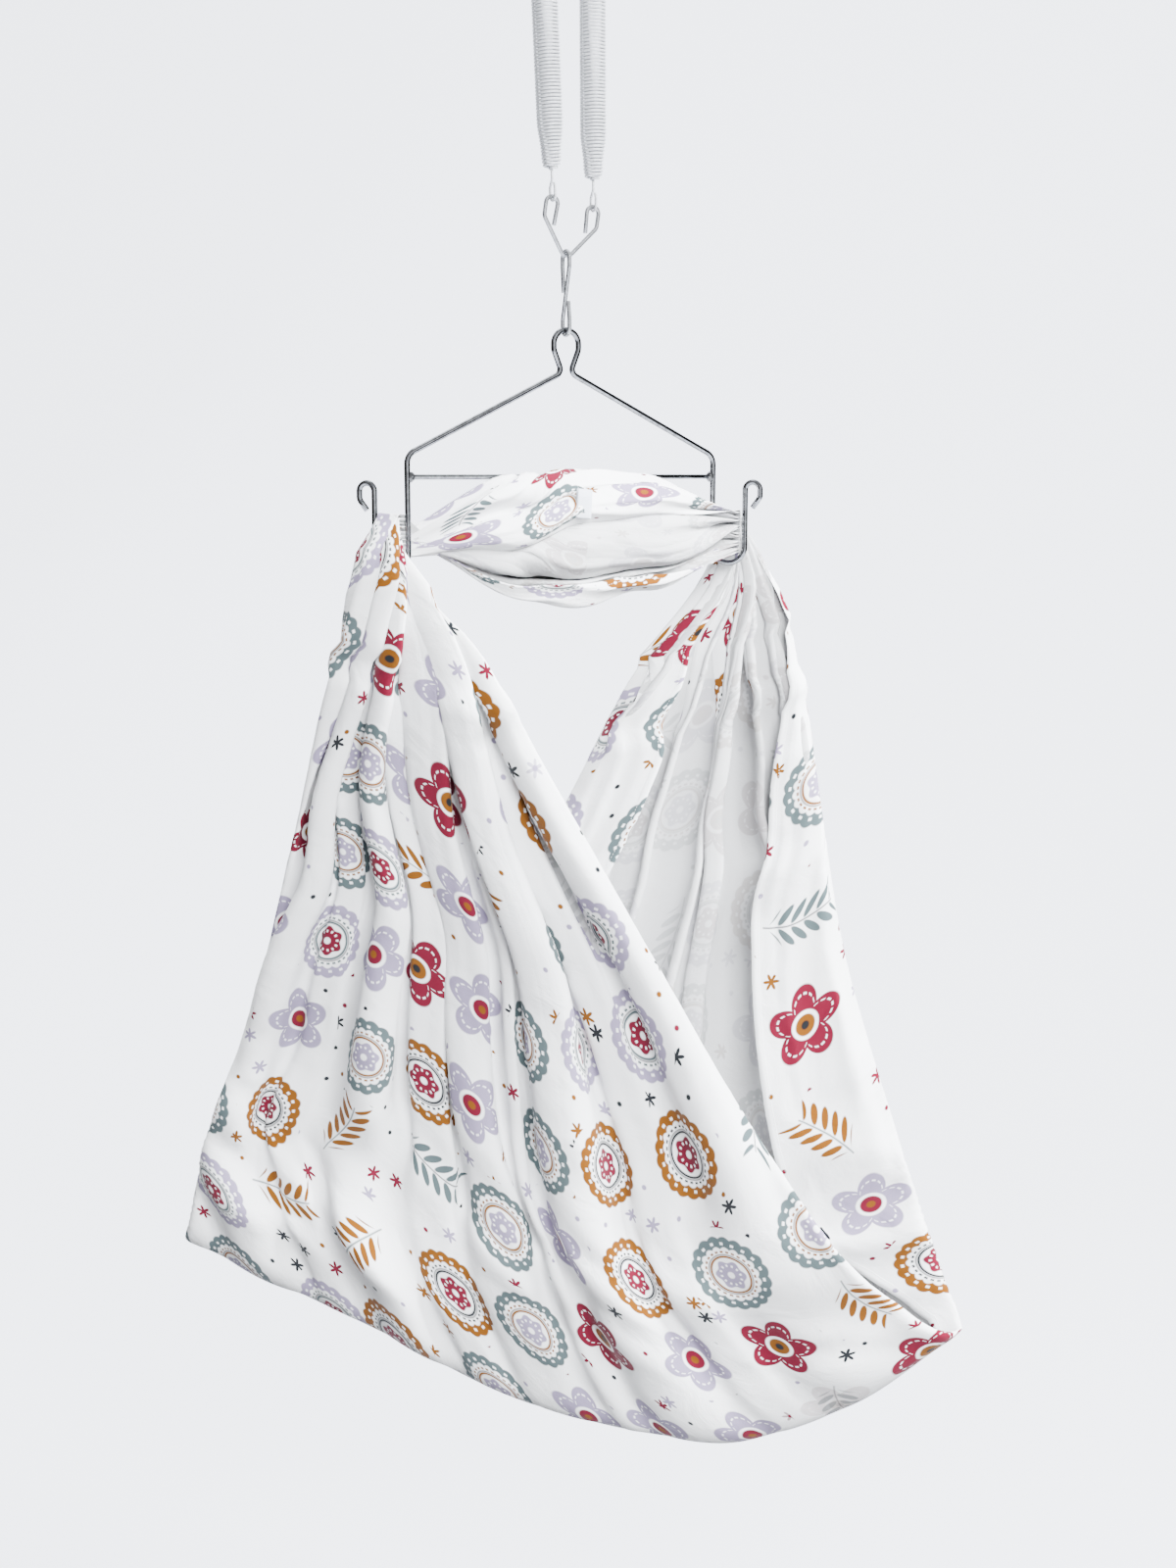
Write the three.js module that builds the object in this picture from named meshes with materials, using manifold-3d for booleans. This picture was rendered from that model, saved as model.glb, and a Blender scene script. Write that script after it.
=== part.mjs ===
import * as THREE from 'three';
import { mergeVertices } from 'three/addons/utils/BufferGeometryUtils.js';
import Module from 'manifold-3d';

const wasm = await Module();
wasm.setup();

// Hanging baby cradle: a sewn tube of cotton hung over the two prongs of a bent wire frame, which
// hangs from two tension springs. Millimetres, +Z up, +X along the crossbar, -Y is the front.
// The origin is the point under the top wire loop where the ceiling hook carries the whole cradle.

// Clearances
const contactGap = 0.3;
const cutOverrun = 2;

// Wire diameters
const springWire = 3;
const yokeWire = 4;
const hookWire = 4;
const frameWire = 5;
const barWire = 4.8;

// The V-shaped yokes at both ends of the springs
const yokeDepth = 50;
const yokeHalfAngle = 38;
const yokeApexBend = 7;
const yokeArmBend = 8;
const yokeLoopWidth = 12.6;
const yokeTailGap = 0.5;
const yokeTailShare = 0.73;
const upperYokeSpread = 55;
const lowerYokeSpread = 43;
const lowerYokeTilt = 9;

// Springs
const springOuterDiameter = 25;
const springNeckDiameter = 19;
const springEndDiameter = 12;
const springTaperLength = 32;
const springNeckLength = 13;
const springEyeReach = 35;
const springEyeWidth = 10;
const springEyeStrand = 13;
const springEyeShoulder = 9;
const springTailOffset = 3.7;
const springTailDrop = 17;
const springLeadIn = 4.5;
const springPairLength = 310;
const springCurls = 34;
const stepsPerCurl = 8;
const springSides = 5;

// S-hook
const hookHeight = 77;
const hookBend = 7;
const hookUpperTail = 38;
const hookLowerTail = 31;
const hookTailOffset = 4.8;

// Wire frame
const ringRadius = 13;
const ringHeight = 136.5;
const ringSideShare = 0.4;
const ringSideBend = 12;
const neckSpacing = 9;
const neckHeight = 97;
const neckBend = 7;
const legSpacing = 327;
const shoulderHeight = 20;
const shoulderBend = 13;
const prongDepth = 85;
const prongOut = 23;
const prongBack = 24;
const tipHeight = 5.5;
const tipCurlWidth = 15;
const tipCurlDrop = 15;
const tipEndDrop = 25;
const tipEndShare = 0.5;

// Weld beads where the crossbar meets the legs
const weldRadius = 4.6;

// Sling cloth
const clothThickness = 1.6;
const gatherThickness = 0.7;
const gatherHeight = 42;
const gatherDepth = 21;
const gatherRun = 8;
const pleatCount = 6;
const columnsPerPleat = 4;
const pleatDepth = 26;
const keelPleatDepth = 10;
const pleatOpenShare = 0.12;
const keelReachRight = 331;
const keelReachFront = 222;
const keelDepth = 977;
const rimSagShare = 0.16;
const sideSwell = 24;
const swellStartShare = 0.6;
const swellFullShare = 0.9;
const shoulderSpread = 28;
const shoulderFullShare = 0.16;
const shoulderEndShare = 0.75;
const bulgeReach = 20;
const bulgeFullShare = 0.05;
const bulgeEndShare = 0.55;
// Both rims of a side are folded inwards, the slack one further than the taut one
const flapColumns = 2;
const flapInset = 9;
const flapLimitShare = 0.4;
const slackFlap = 115;
const slackFullShare = 0.65;
const slackEndShare = 0.72;
const tautFlap = 90;
const tautFullShare = 0.3;
const tautEndShare = 0.35;
const keelFlap = 28;
// Rows down each side, as shares of the way from the prong to the keel
const sideRowShares = [0.03, 0.12, 0.25, 0.42, 0.6, 0.78, 0.93];
// Points along the keel from the front corner to the back one: share of its length, share of its depth
const keelLineShares = [[0, 0.866], [0.14, 0.955], [0.3, 1], [0.55, 0.97], [0.75, 0.895], [1, 0.803]];
const topRunRows = 6;
const runSpreadShare = 0.27;
const runShrinkShare = 0.2;
// Outline of the top run half way, a point for each column: how far behind the bar and how far above it
const frontBand = [[-34, -44], [-43, -37], [-38, -12], [-29, -1], [-12, 7.5], [-5, -18], [-10, -36]];
const foldedRoll = [[-31, -50], [-42, -66], [-40, -77], [-30, -87], [-8, -88], [-1, -66], [6, -40]];
const backFold = [[16, -24], [25, -36], [32, -56], [32, -78], [27, -98], [-2, -97], [-28, -97]];
const lowerCurl = [[-14, -106], [-20, -121], [-32, -113], [-35, -102]];

// Label sewn into the seam of the sling
const tagWidth = 14;
const tagLength = 24;
const tagThickness = 0.8;

// Fineness of round shapes
const wireSides = 8;
const bendStep = 20;
const barSides = 12;
const weldSegments = 16;

// Heights of the chain of hooks, worked down from the hanging point
const upperApexZ = yokeWire / 2;
const upperLoopZ = upperApexZ - yokeDepth;
const springToYoke = springWire / 2 + yokeWire / 2 + contactGap;
const lowerLoopMeanZ = upperLoopZ + springToYoke * 2 - springPairLength;
const lowerApexZ = lowerLoopMeanZ - yokeDepth;
const hookTopZ = lowerApexZ + yokeWire / 2 + hookWire / 2 + contactGap;
const hookBottomZ = hookTopZ - hookHeight;
const ringTopZ = hookBottomZ + hookWire / 2 + frameWire / 2 + contactGap;
const barZ = ringTopZ - ringHeight;

// Materials
const materials = {
  zinc: new THREE.MeshStandardMaterial({ color: 0xc9cdd2, roughness: 0.35, metalness: 1 }),
  chrome: new THREE.MeshStandardMaterial({ color: 0xb9bdc4, roughness: 0.12, metalness: 1 }),
  weld: new THREE.MeshStandardMaterial({ color: 0xa4a8ae, roughness: 0.4, metalness: 1 }),
  cotton: new THREE.MeshStandardMaterial({ color: 0xf1eff0, roughness: 0.85, metalness: 0 }),
  tape: new THREE.MeshStandardMaterial({ color: 0xffffff, roughness: 0.7, metalness: 0 }),
};

const vec = (x, y, z) => new THREE.Vector3(x, y, z);
const degrees = THREE.MathUtils.degToRad;
const smooth = (share) => THREE.MathUtils.smoothstep(share, 0, 1);
const rise = (share, startShare, endShare) => THREE.MathUtils.smoothstep(share, startShare, endShare);

// A route through given points, which a section follows with one step between two points
class PointRoute extends THREE.Curve {
  constructor(points) {
    super();
    this.points = points;
  }

  indexAt(share) {
    return Math.round(share * (this.points.length - 1));
  }

  getPointAt(share, target = new THREE.Vector3()) {
    return target.copy(this.points[this.indexAt(share)]);
  }

  getTangentAt(share, target = new THREE.Vector3()) {
    const index = this.indexAt(share);
    const here = this.points[index];
    const before = this.points[Math.max(index - 1, 0)];
    const after = this.points[Math.min(index + 1, this.points.length - 1)];
    const arriving = here.clone().sub(before).normalize();
    const leaving = after.clone().sub(here).normalize();
    return target.copy(arriving).add(leaving).normalize();
  }
}

// Corners of a wire as it is bent on a jig: each corner has a place and a bend radius
const corner = (x, y, z, bend = 0) => ({ at: vec(x, y, z), bend });

function bentWire(corners) {
  const points = [corners[0].at.clone()];
  for (let index = 1; index < corners.length - 1; index += 1) {
    const { at, bend } = corners[index];
    const toBefore = corners[index - 1].at.clone().sub(at).normalize();
    const toAfter = corners[index + 1].at.clone().sub(at).normalize();
    const turn = Math.PI - toBefore.angleTo(toAfter);
    const bisector = toBefore.clone().add(toAfter).normalize();
    const centre = at.clone().addScaledVector(bisector, bend / Math.cos(turn / 2));
    const tangentLength = bend * Math.tan(turn / 2);
    const first = at.clone().addScaledVector(toBefore, tangentLength).sub(centre);
    const last = at.clone().addScaledVector(toAfter, tangentLength).sub(centre);
    const steps = Math.max(2, Math.ceil(turn / degrees(bendStep)));
    for (let step = 0; step <= steps; step += 1) {
      const share = step / steps;
      const spoke = first.clone().multiplyScalar(Math.sin((1 - share) * turn) / Math.sin(turn));
      spoke.addScaledVector(last, Math.sin(share * turn) / Math.sin(turn));
      points.push(centre.clone().add(spoke));
    }
  }
  points.push(corners.at(-1).at.clone());
  return points.filter((point, index) => index === 0 || point.distanceTo(points[index - 1]) > contactGap / 2);
}

function wireGeometry(points, diameter, sides) {
  const outline = [];
  for (let side = 0; side < sides; side += 1) {
    const angle = (side / sides) * Math.PI * 2;
    outline.push(new THREE.Vector2(Math.cos(angle), Math.sin(angle)).multiplyScalar(diameter / 2));
  }
  return new THREE.ExtrudeGeometry(new THREE.Shape(outline), {
    extrudePath: new PointRoute(points),
    steps: points.length - 1,
    bevelEnabled: false,
  });
}

function piece(name, geometry, material) {
  const mesh = new THREE.Mesh(geometry, material);
  mesh.name = name;
  return mesh;
}

// Yoke: one wire bent to a V, with a loop at the end of each arm whose tail comes back to the arm.
// The apex of its wire is at its own origin and the loops are above it.
function yokeGeometry(spread) {
  const halfAngle = degrees(yokeHalfAngle);
  const apexRise = yokeApexBend * (1 / Math.sin(halfAngle) - 1);
  const outerX = (spread + yokeLoopWidth) / 2;
  const innerX = (spread - yokeLoopWidth) / 2;
  const armTopZ = outerX / Math.tan(halfAngle) - apexRise;
  const tailAlong = (yokeTailShare * outerX) / Math.sin(halfAngle);
  const tailAway = yokeWire + yokeTailGap;
  const tailX = tailAlong * Math.sin(halfAngle) - tailAway * Math.cos(halfAngle);
  const tailZ = tailAlong * Math.cos(halfAngle) + tailAway * Math.sin(halfAngle) - apexRise;
  const arm = (side) => [
    corner(side * tailX, 0, tailZ),
    corner(side * innerX, 0, yokeDepth, yokeLoopWidth / 2),
    corner(side * outerX, 0, yokeDepth, yokeLoopWidth / 2),
    corner(side * outerX, 0, armTopZ, yokeArmBend),
  ];
  const corners = [...arm(-1), corner(0, 0, -apexRise, yokeApexBend), ...arm(1).reverse()];
  return wireGeometry(bentWire(corners), yokeWire, wireSides);
}

// Where the wire of each loop carries a spring, for a yoke at a height, upright or upside down
function yokeLoop(side, spread, apexZ, tilt, up) {
  const loop = vec((side * spread) / 2, 0, up * yokeDepth);
  loop.applyAxisAngle(vec(0, 1, 0), degrees(tilt));
  return loop.add(vec(0, 0, apexZ));
}

// Spring: one wire from the lower eye, up the axis, round the coil and on to the upper eye.
// It is built along its own axis with the middle of its length at its origin.
function eyeCorners() {
  const half = springEyeWidth / 2;
  return [
    corner(0, -springTailOffset, springTailDrop),
    corner(0, -half, springEyeStrand + springEyeShoulder, half),
    corner(0, -half, springEyeReach, half),
    corner(0, half, springEyeReach, half),
    corner(0, half, springEyeStrand + springEyeShoulder, half),
    corner(0, 0, springEyeStrand, half),
    corner(0, 0, contactGap),
  ];
}

function coilRadius(fromEnd) {
  const fullRadius = (springOuterDiameter - springWire) / 2;
  const neckRadius = (springNeckDiameter - springWire) / 2;
  const endRadius = (springEndDiameter - springWire) / 2;
  if (fromEnd < springLeadIn) return endRadius * smooth(fromEnd / springLeadIn);
  if (fromEnd < springNeckLength) {
    const share = (fromEnd - springLeadIn) / (springNeckLength - springLeadIn);
    return THREE.MathUtils.lerp(endRadius, neckRadius, Math.sin((share * Math.PI) / 2));
  }
  const share = (fromEnd - springNeckLength) / springTaperLength;
  return THREE.MathUtils.lerp(neckRadius, fullRadius, smooth(Math.min(share, 1)));
}

function springPoints(eyeToEye) {
  const coilLength = eyeToEye - springEyeReach * 2;
  const eye = bentWire(eyeCorners());
  const lowerEye = eye.map((point) => vec(point.x, point.y, -point.z - coilLength / 2));
  const upperEye = eye.map((point) => vec(point.x, -point.y, point.z + coilLength / 2)).reverse();
  const coil = [];
  const steps = springCurls * stepsPerCurl;
  for (let step = 1; step < steps; step += 1) {
    const height = (step / steps) * coilLength;
    const radius = coilRadius(Math.min(height, coilLength - height));
    const angle = (step / stepsPerCurl) * Math.PI * 2;
    coil.push(vec(radius * Math.cos(angle), radius * Math.sin(angle), height - coilLength / 2));
  }
  return [...lowerEye, ...coil, ...upperEye];
}

// The least gap of a wire to itself, between points that lie at least most of a curl apart along it
function leastSelfGap(points, diameter) {
  let least = Infinity;
  const alongWire = [0];
  for (let index = 1; index < points.length; index += 1) {
    alongWire.push(alongWire[index - 1] + points[index].distanceTo(points[index - 1]));
  }
  for (let first = 0; first < points.length; first += 1) {
    for (let second = first + 1; second < points.length; second += 1) {
      if (alongWire[second] - alongWire[first] > diameter * 4) {
        least = Math.min(least, points[first].distanceTo(points[second]) - diameter);
      }
    }
  }
  return least;
}

function spring(name, upperLoop, lowerLoop) {
  const upperEye = upperLoop.clone().add(vec(0, 0, springToYoke));
  const lowerEye = lowerLoop.clone().sub(vec(0, 0, springToYoke));
  const axis = upperEye.clone().sub(lowerEye);
  const points = springPoints(axis.length());
  console.log(`${name}: least gap of the wire to itself ${leastSelfGap(points, springWire).toFixed(2)} mm`);
  const mesh = piece(name, wireGeometry(points, springWire, springSides), materials.zinc);
  mesh.position.copy(upperEye).add(lowerEye).multiplyScalar(0.5);
  mesh.quaternion.setFromUnitVectors(vec(0, 0, 1), axis.normalize());
  return mesh;
}

// S-hook, across the frame: the upper bend hangs on the yoke and the lower bend carries the ring
function hookGeometry() {
  const corners = [
    corner(0, hookTailOffset, -hookUpperTail),
    corner(0, hookBend, -hookBend * 2, hookBend),
    corner(0, hookBend, 0, hookBend),
    corner(0, -hookBend, 0, hookBend),
    corner(0, -hookBend, -hookBend * 2, hookBend),
    corner(0, hookBend, hookBend * 2 - hookHeight, hookBend),
    corner(0, hookBend, -hookHeight, hookBend),
    corner(0, -hookBend, -hookHeight, hookBend),
    corner(0, -hookBend, hookBend * 2 - hookHeight, hookBend),
    corner(0, -hookTailOffset, hookLowerTail - hookHeight),
  ];
  return wireGeometry(bentWire(corners), hookWire, wireSides);
}

// Wire frame: hook tip, prong, leg, shoulder, arm, neck and half the ring on one side of the middle.
// The other side is the same wire turned half round, so one prong goes forward and one goes back.
const legX = legSpacing / 2;
const prongWidth = Math.hypot(prongOut, prongBack);
const prongX = legX + prongOut;
const prongY = -prongBack;
const tipX = prongX + (tipCurlWidth * prongOut) / prongWidth;
const tipY = prongY - (tipCurlWidth * prongBack) / prongWidth;
const tipEndX = THREE.MathUtils.lerp(prongX, tipX, tipEndShare);
const tipEndY = THREE.MathUtils.lerp(prongY, tipY, tipEndShare);

function frameSide() {
  const ringCentre = ringHeight - ringRadius;
  return [
    corner(tipEndX, tipEndY, -tipHeight - tipEndDrop),
    corner(tipX, tipY, -tipHeight - tipCurlDrop, tipCurlWidth / 2),
    corner(tipX, tipY, -tipHeight, tipCurlWidth / 2),
    corner(prongX, prongY, -tipHeight, tipCurlWidth / 2),
    corner(prongX, prongY, -prongDepth, prongWidth / 2),
    corner(legX, 0, -prongDepth, prongWidth / 2),
    corner(legX, 0, shoulderHeight, shoulderBend),
    corner(neckSpacing / 2, 0, neckHeight, neckBend),
    corner(ringRadius, 0, ringCentre - ringSideShare * ringRadius, ringSideBend),
    corner(ringRadius, 0, ringHeight, ringRadius),
  ];
}

function frameGeometry() {
  const right = frameSide();
  const left = frameSide().map(({ at, bend }) => ({ at: vec(-at.x, -at.y, at.z), bend }));
  return wireGeometry(bentWire([...right, ...left.reverse()]), frameWire, wireSides);
}

// Crossbar: a straight rod between the legs, turned to lie along X
const barLength = legSpacing - frameWire - contactGap * 2;

function barGeometry() {
  const geometry = new THREE.CylinderGeometry(barWire / 2, barWire / 2, barLength, barSides);
  geometry.rotateZ(Math.PI / 2);
  return geometry;
}

function solid(geometry) {
  const bare = geometry.clone();
  bare.deleteAttribute('normal');
  bare.deleteAttribute('uv');
  const merged = mergeVertices(bare, contactGap / 100);
  const vertProperties = new Float32Array(merged.attributes.position.array);
  const triVerts = new Uint32Array(merged.index.array);
  return new wasm.Manifold(new wasm.Mesh({ numProp: 3, vertProperties, triVerts }));
}

function geometryOf(manifold) {
  const mesh = manifold.getMesh();
  const geometry = new THREE.BufferGeometry();
  geometry.setAttribute('position', new THREE.BufferAttribute(new Float32Array(mesh.vertProperties), 3));
  geometry.setIndex(new THREE.BufferAttribute(new Uint32Array(mesh.triVerts), 1));
  geometry.computeVertexNormals();
  return geometry;
}

// Weld bead: a round blob over the end of the bar, cut clear of the bar and of the leg
function weldGeometry(side) {
  const bead = new THREE.SphereGeometry(weldRadius, weldSegments, weldSegments / 2);
  bead.translate(side * (legX - frameWire / 2), 0, 0);
  const legRadius = frameWire / 2 + contactGap;
  const leg = new THREE.CylinderGeometry(legRadius, legRadius, weldRadius * 2 + cutOverrun, barSides);
  leg.rotateX(Math.PI / 2);
  leg.translate(side * legX, 0, 0);
  const barRadius = barWire / 2 + contactGap;
  const bar = new THREE.CylinderGeometry(barRadius, barRadius, legX, barSides);
  bar.rotateZ(Math.PI / 2);
  bar.translate((side * legX) / 2, 0, 0);
  return geometryOf(solid(bead).subtract(solid(leg)).subtract(solid(bar)));
}

// Sling. Columns run across the width of the cloth, from the near rim to the far one.
// Rows run round the tube: over the top run to the right prong, down that side to the keel,
// and up the other side to the left prong. The zig-zag of the columns is the pleats.
const columnCount = pleatCount * columnsPerPleat;
const pleatWave = [0, 0, 1, 1];
const keelSpline = new THREE.SplineCurve(keelLineShares.map(([along, deep]) => new THREE.Vector2(along, deep)));

function keelPoint(share) {
  const { x: along, y: deep } = keelSpline.getPoint(share);
  const across = 1 - along * 2;
  return vec(across * keelReachRight, -across * keelReachFront, -deep * keelDepth);
}

// Directions at a prong: along it from the leg to the tip, and through it towards the hanging side
const prongAlong = (side) => vec(side * prongOut, -side * prongBack, 0).divideScalar(prongWidth);
const prongThrough = (side) => vec(side * prongBack, side * prongOut, 0).divideScalar(prongWidth);
// The gathered cloth is squarer than the round bottom of the prong, so its lower edges rest on the bend
const prongInside = (prongWidth - frameWire) / 2 - contactGap;
const gatherSide = (gatherDepth + gatherThickness) / 2;
const gatherRest = prongWidth / 2 - Math.sqrt(prongInside ** 2 - gatherSide ** 2) + gatherThickness / 2;
const gatherZ = -prongDepth + gatherRest + gatherHeight / 2;

function gatherCentre(side, through) {
  const centre = vec(side * (legX + prongOut / 2), (-side * prongBack) / 2, gatherZ);
  return centre.addScaledVector(prongThrough(side), through);
}

function pleatOffset(column, depth) {
  return (pleatWave[column % columnsPerPleat] - 0.5) * depth;
}

function gatherRow(side, through) {
  return (column) => gatherCentre(side, through)
    .add(vec(0, 0, -side * (column / columnCount - 0.5) * gatherHeight))
    .addScaledVector(prongAlong(side), -pleatOffset(column, gatherDepth));
}

// From prong to prong the gathered cloth opens out to its outline in front of the crossbar and below it
const runOutline = [...frontBand, ...foldedRoll, ...backFold, ...lowerCurl];

function topRunRow(share) {
  const fromEnd = Math.min(share, 1 - share) / runSpreadShare;
  const spreadShare = Math.sin((Math.min(fromEnd, 1) * Math.PI) / 2);
  const size = 1 - runShrinkShare * Math.abs(share * 2 - 1);
  return (column) => {
    const left = gatherRow(-1, -gatherRun)(column);
    const right = gatherRow(1, -gatherRun)(column);
    const bundle = left.clone().lerp(right, smooth(share));
    bundle.x = THREE.MathUtils.lerp(left.x, right.x, share);
    const [behind, above] = runOutline[column];
    return bundle.lerp(vec(bundle.x, behind * size, above * size), spreadShare);
  };
}

// Grows from 0 to 1 and falls back to 0
const humpShare = (down, fullShare, endShare) => rise(down, 0, fullShare) * (1 - rise(down, fullShare, endShare));

// The smooth fan of a side, from the prong to the keel: its threads sag and its shoulders stand out
function fanPoint(side, share, down) {
  const start = gatherCentre(side, gatherRun).add(vec(0, 0, -side * (share - 0.5) * gatherHeight));
  const finish = keelPoint(share);
  const reach = Math.hypot(finish.x - start.x, finish.y - start.y);
  const evenSag = 4 * down * (1 - down);
  const lateSag = 6.75 * down * down * (1 - down);
  const lateShare = side < 0 ? 1 - share : 0;
  const sag = THREE.MathUtils.lerp(evenSag, lateSag, lateShare) * rimSagShare * reach;
  const spread = shoulderSpread * humpShare(down, shoulderFullShare, shoulderEndShare);
  const bulge = bulgeReach * humpShare(down, bulgeFullShare, bulgeEndShare);
  const keelAlong = keelPoint(0).sub(keelPoint(1)).normalize();
  return start
    .lerp(finish, down)
    .add(vec(0, 0, -sag))
    .addScaledVector(keelAlong, spread * (1 - share * 2))
    .addScaledVector(prongThrough(side), bulge);
}

// How much cloth is turned in at the near rim and at the far one
function rimFlaps(side, down) {
  const grown = (flap, fullShare, endShare) => {
    return THREE.MathUtils.lerp(flap * rise(down, 0, fullShare), keelFlap, rise(down, endShare, 1));
  };
  const slack = grown(slackFlap, slackFullShare, slackEndShare);
  const taut = grown(tautFlap, tautFullShare, tautEndShare);
  return side > 0 ? [slack, taut] : [taut, slack];
}

// The way out of the bed: square to the prong at the top, square to the keel below, and down at the keel
function sideOutward(side, down) {
  if (down === 1) return vec(0, 0, -1);
  const keelNormal = vec(keelReachFront, keelReachRight, 0).normalize().multiplyScalar(side);
  return prongAlong(side).negate().lerp(keelNormal, smooth(down / shoulderFullShare)).normalize();
}

// Down a side the stacked pleats open out. The outer columns lie folded back inside the others.
function sideRow(side, down) {
  const opened = smooth(down / pleatOpenShare);
  const outward = sideOutward(side, down);
  const depth = THREE.MathUtils.lerp(pleatDepth, keelPleatDepth, rise(down, swellStartShare, 1));
  const swell = down < 1 ? sideSwell * rise(down, swellStartShare, swellFullShare) : 0;
  const span = fanPoint(side, 0, down).distanceTo(fanPoint(side, 1, down));
  const [nearFlap, farFlap] = rimFlaps(side, down).map((flap) => Math.min(flap / span, flapLimitShare));
  const lastColumn = columnCount - flapColumns;
  return (column) => {
    const nearTurned = Math.max(0, flapColumns - column) / flapColumns;
    const farTurned = Math.max(0, column - lastColumn) / flapColumns;
    const within = THREE.MathUtils.clamp((column - flapColumns) / (lastColumn - flapColumns), 0, 1);
    const laidShare = within + nearTurned * nearFlap - farTurned * farFlap;
    const inFlap = nearTurned > 0 || farTurned > 0;
    const laidOffset = inFlap ? -depth / 2 - flapInset : pleatOffset(column, depth);
    const share = THREE.MathUtils.lerp(column / columnCount, laidShare, opened);
    const offset = THREE.MathUtils.lerp(pleatOffset(column, gatherDepth), laidOffset, opened);
    return fanPoint(side, share, down).addScaledVector(outward, offset + swell);
  };
}

function slingRows() {
  const rows = [gatherRow(-1, -gatherRun)];
  for (let row = 1; row < topRunRows; row += 1) rows.push(topRunRow(row / topRunRows));
  rows.push(gatherRow(1, -gatherRun), gatherRow(1, gatherRun));
  sideRowShares.forEach((down) => rows.push(sideRow(1, down)));
  rows.push(sideRow(1, 1));
  sideRowShares.toReversed().forEach((down) => rows.push(sideRow(-1, down)));
  rows.push(gatherRow(-1, gatherRun));
  return rows.map((place) => Array.from({ length: columnCount + 1 }, (_, column) => place(column)));
}

// The direction at a point between its neighbours, which halves even a sharp fold. A rim has one neighbour.
function bisector(before, here, after) {
  const direction = vec(0, 0, 0);
  if (before) direction.add(here.clone().sub(before).normalize());
  if (after) direction.add(after.clone().sub(here).normalize());
  return direction;
}

// The cloth as a closed shell: both faces of the grid, joined along the two rims
function slingGeometry() {
  const rows = slingRows();
  const rowCount = rows.length;
  const around = (row) => rows[(row + rowCount) % rowCount];
  const positions = [];
  const gatheredRows = [0, topRunRows, topRunRows + 1, topRunRows + 2, rowCount - 2, rowCount - 1];
  for (const face of [1, -1]) {
    for (let row = 0; row < rowCount; row += 1) {
      const half = (gatheredRows.includes(row) ? gatherThickness : clothThickness) / 2;
      for (let column = 0; column <= columnCount; column += 1) {
        const here = around(row)[column];
        const across = bisector(around(row)[column - 1], here, around(row)[column + 1]);
        const along = bisector(around(row - 1)[column], here, around(row + 1)[column]);
        const normal = across.cross(along).normalize();
        const point = here.clone().addScaledVector(normal, face * half);
        positions.push(point.x, point.y, point.z);
      }
    }
  }
  const vertex = (face, row, column) => (face * rowCount + (row % rowCount)) * (columnCount + 1) + column;
  const triangles = [];
  const quad = (a, b, c, d) => triangles.push(a, b, c, a, c, d);
  for (let row = 0; row < rowCount; row += 1) {
    for (let column = 0; column < columnCount; column += 1) {
      quad(vertex(0, row, column), vertex(0, row, column + 1), vertex(0, row + 1, column + 1),
        vertex(0, row + 1, column));
      quad(vertex(1, row, column), vertex(1, row + 1, column), vertex(1, row + 1, column + 1),
        vertex(1, row, column + 1));
    }
    quad(vertex(0, row, 0), vertex(0, row + 1, 0), vertex(1, row + 1, 0), vertex(1, row, 0));
    quad(vertex(0, row, columnCount), vertex(1, row, columnCount), vertex(1, row + 1, columnCount),
      vertex(0, row + 1, columnCount));
  }
  const geometry = new THREE.BufferGeometry();
  geometry.setAttribute('position', new THREE.Float32BufferAttribute(positions, 3));
  geometry.setIndex(triangles);
  geometry.computeVertexNormals();
  return geometry;
}

// The label lies on the front pleat of the top run, sewn into the seam of the cloth
function placeTag(tag) {
  const low = topRunRow(0.5)(1);
  const high = topRunRow(0.5)(2);
  const slope = Math.atan2(low.y - high.y, high.z - low.z);
  const away = (clothThickness + tagThickness) / 2 + contactGap;
  tag.rotation.x = slope;
  tag.position.copy(low).lerp(high, 0.5);
  tag.position.add(vec(0, -away * Math.cos(slope), -away * Math.sin(slope)));
}

const cradle = new THREE.Group();

const upperYoke = piece('upper_yoke', yokeGeometry(upperYokeSpread), materials.zinc);
upperYoke.position.z = upperApexZ;
upperYoke.rotation.y = Math.PI;
cradle.add(upperYoke);

const lowerYoke = piece('lower_yoke', yokeGeometry(lowerYokeSpread), materials.zinc);
lowerYoke.position.z = lowerApexZ;
lowerYoke.rotation.y = degrees(lowerYokeTilt);
cradle.add(lowerYoke);

for (const [name, side] of [['left_spring', -1], ['right_spring', 1]]) {
  const upperLoop = yokeLoop(side, upperYokeSpread, upperApexZ, 0, -1);
  const lowerLoop = yokeLoop(side, lowerYokeSpread, lowerApexZ, lowerYokeTilt, 1);
  cradle.add(spring(name, upperLoop, lowerLoop));
}

const hook = piece('s_hook', hookGeometry(), materials.zinc);
hook.position.z = hookTopZ;
cradle.add(hook);

const hanger = new THREE.Group();
hanger.position.z = barZ;
hanger.add(piece('frame_wire', frameGeometry(), materials.chrome));
hanger.add(piece('cross_bar', barGeometry(), materials.chrome));
hanger.add(piece('left_weld', weldGeometry(-1), materials.weld));
hanger.add(piece('right_weld', weldGeometry(1), materials.weld));
hanger.add(piece('sling_cloth', slingGeometry(), materials.cotton));
const tag = piece('label_tag', new THREE.BoxGeometry(tagWidth, tagThickness, tagLength), materials.tape);
placeTag(tag);
hanger.add(tag);
cradle.add(hanger);

export default cradle;
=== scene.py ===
# %% [markdown]
# # A hanging baby cradle
#
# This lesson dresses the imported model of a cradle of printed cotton. The cloth hangs from a bent
# chrome wire frame, and the frame hangs from two springs. Lengths are in metres, and each piece is
# made in its own place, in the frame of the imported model, so that it can ride on the model's bodies.

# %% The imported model
import math

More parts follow.
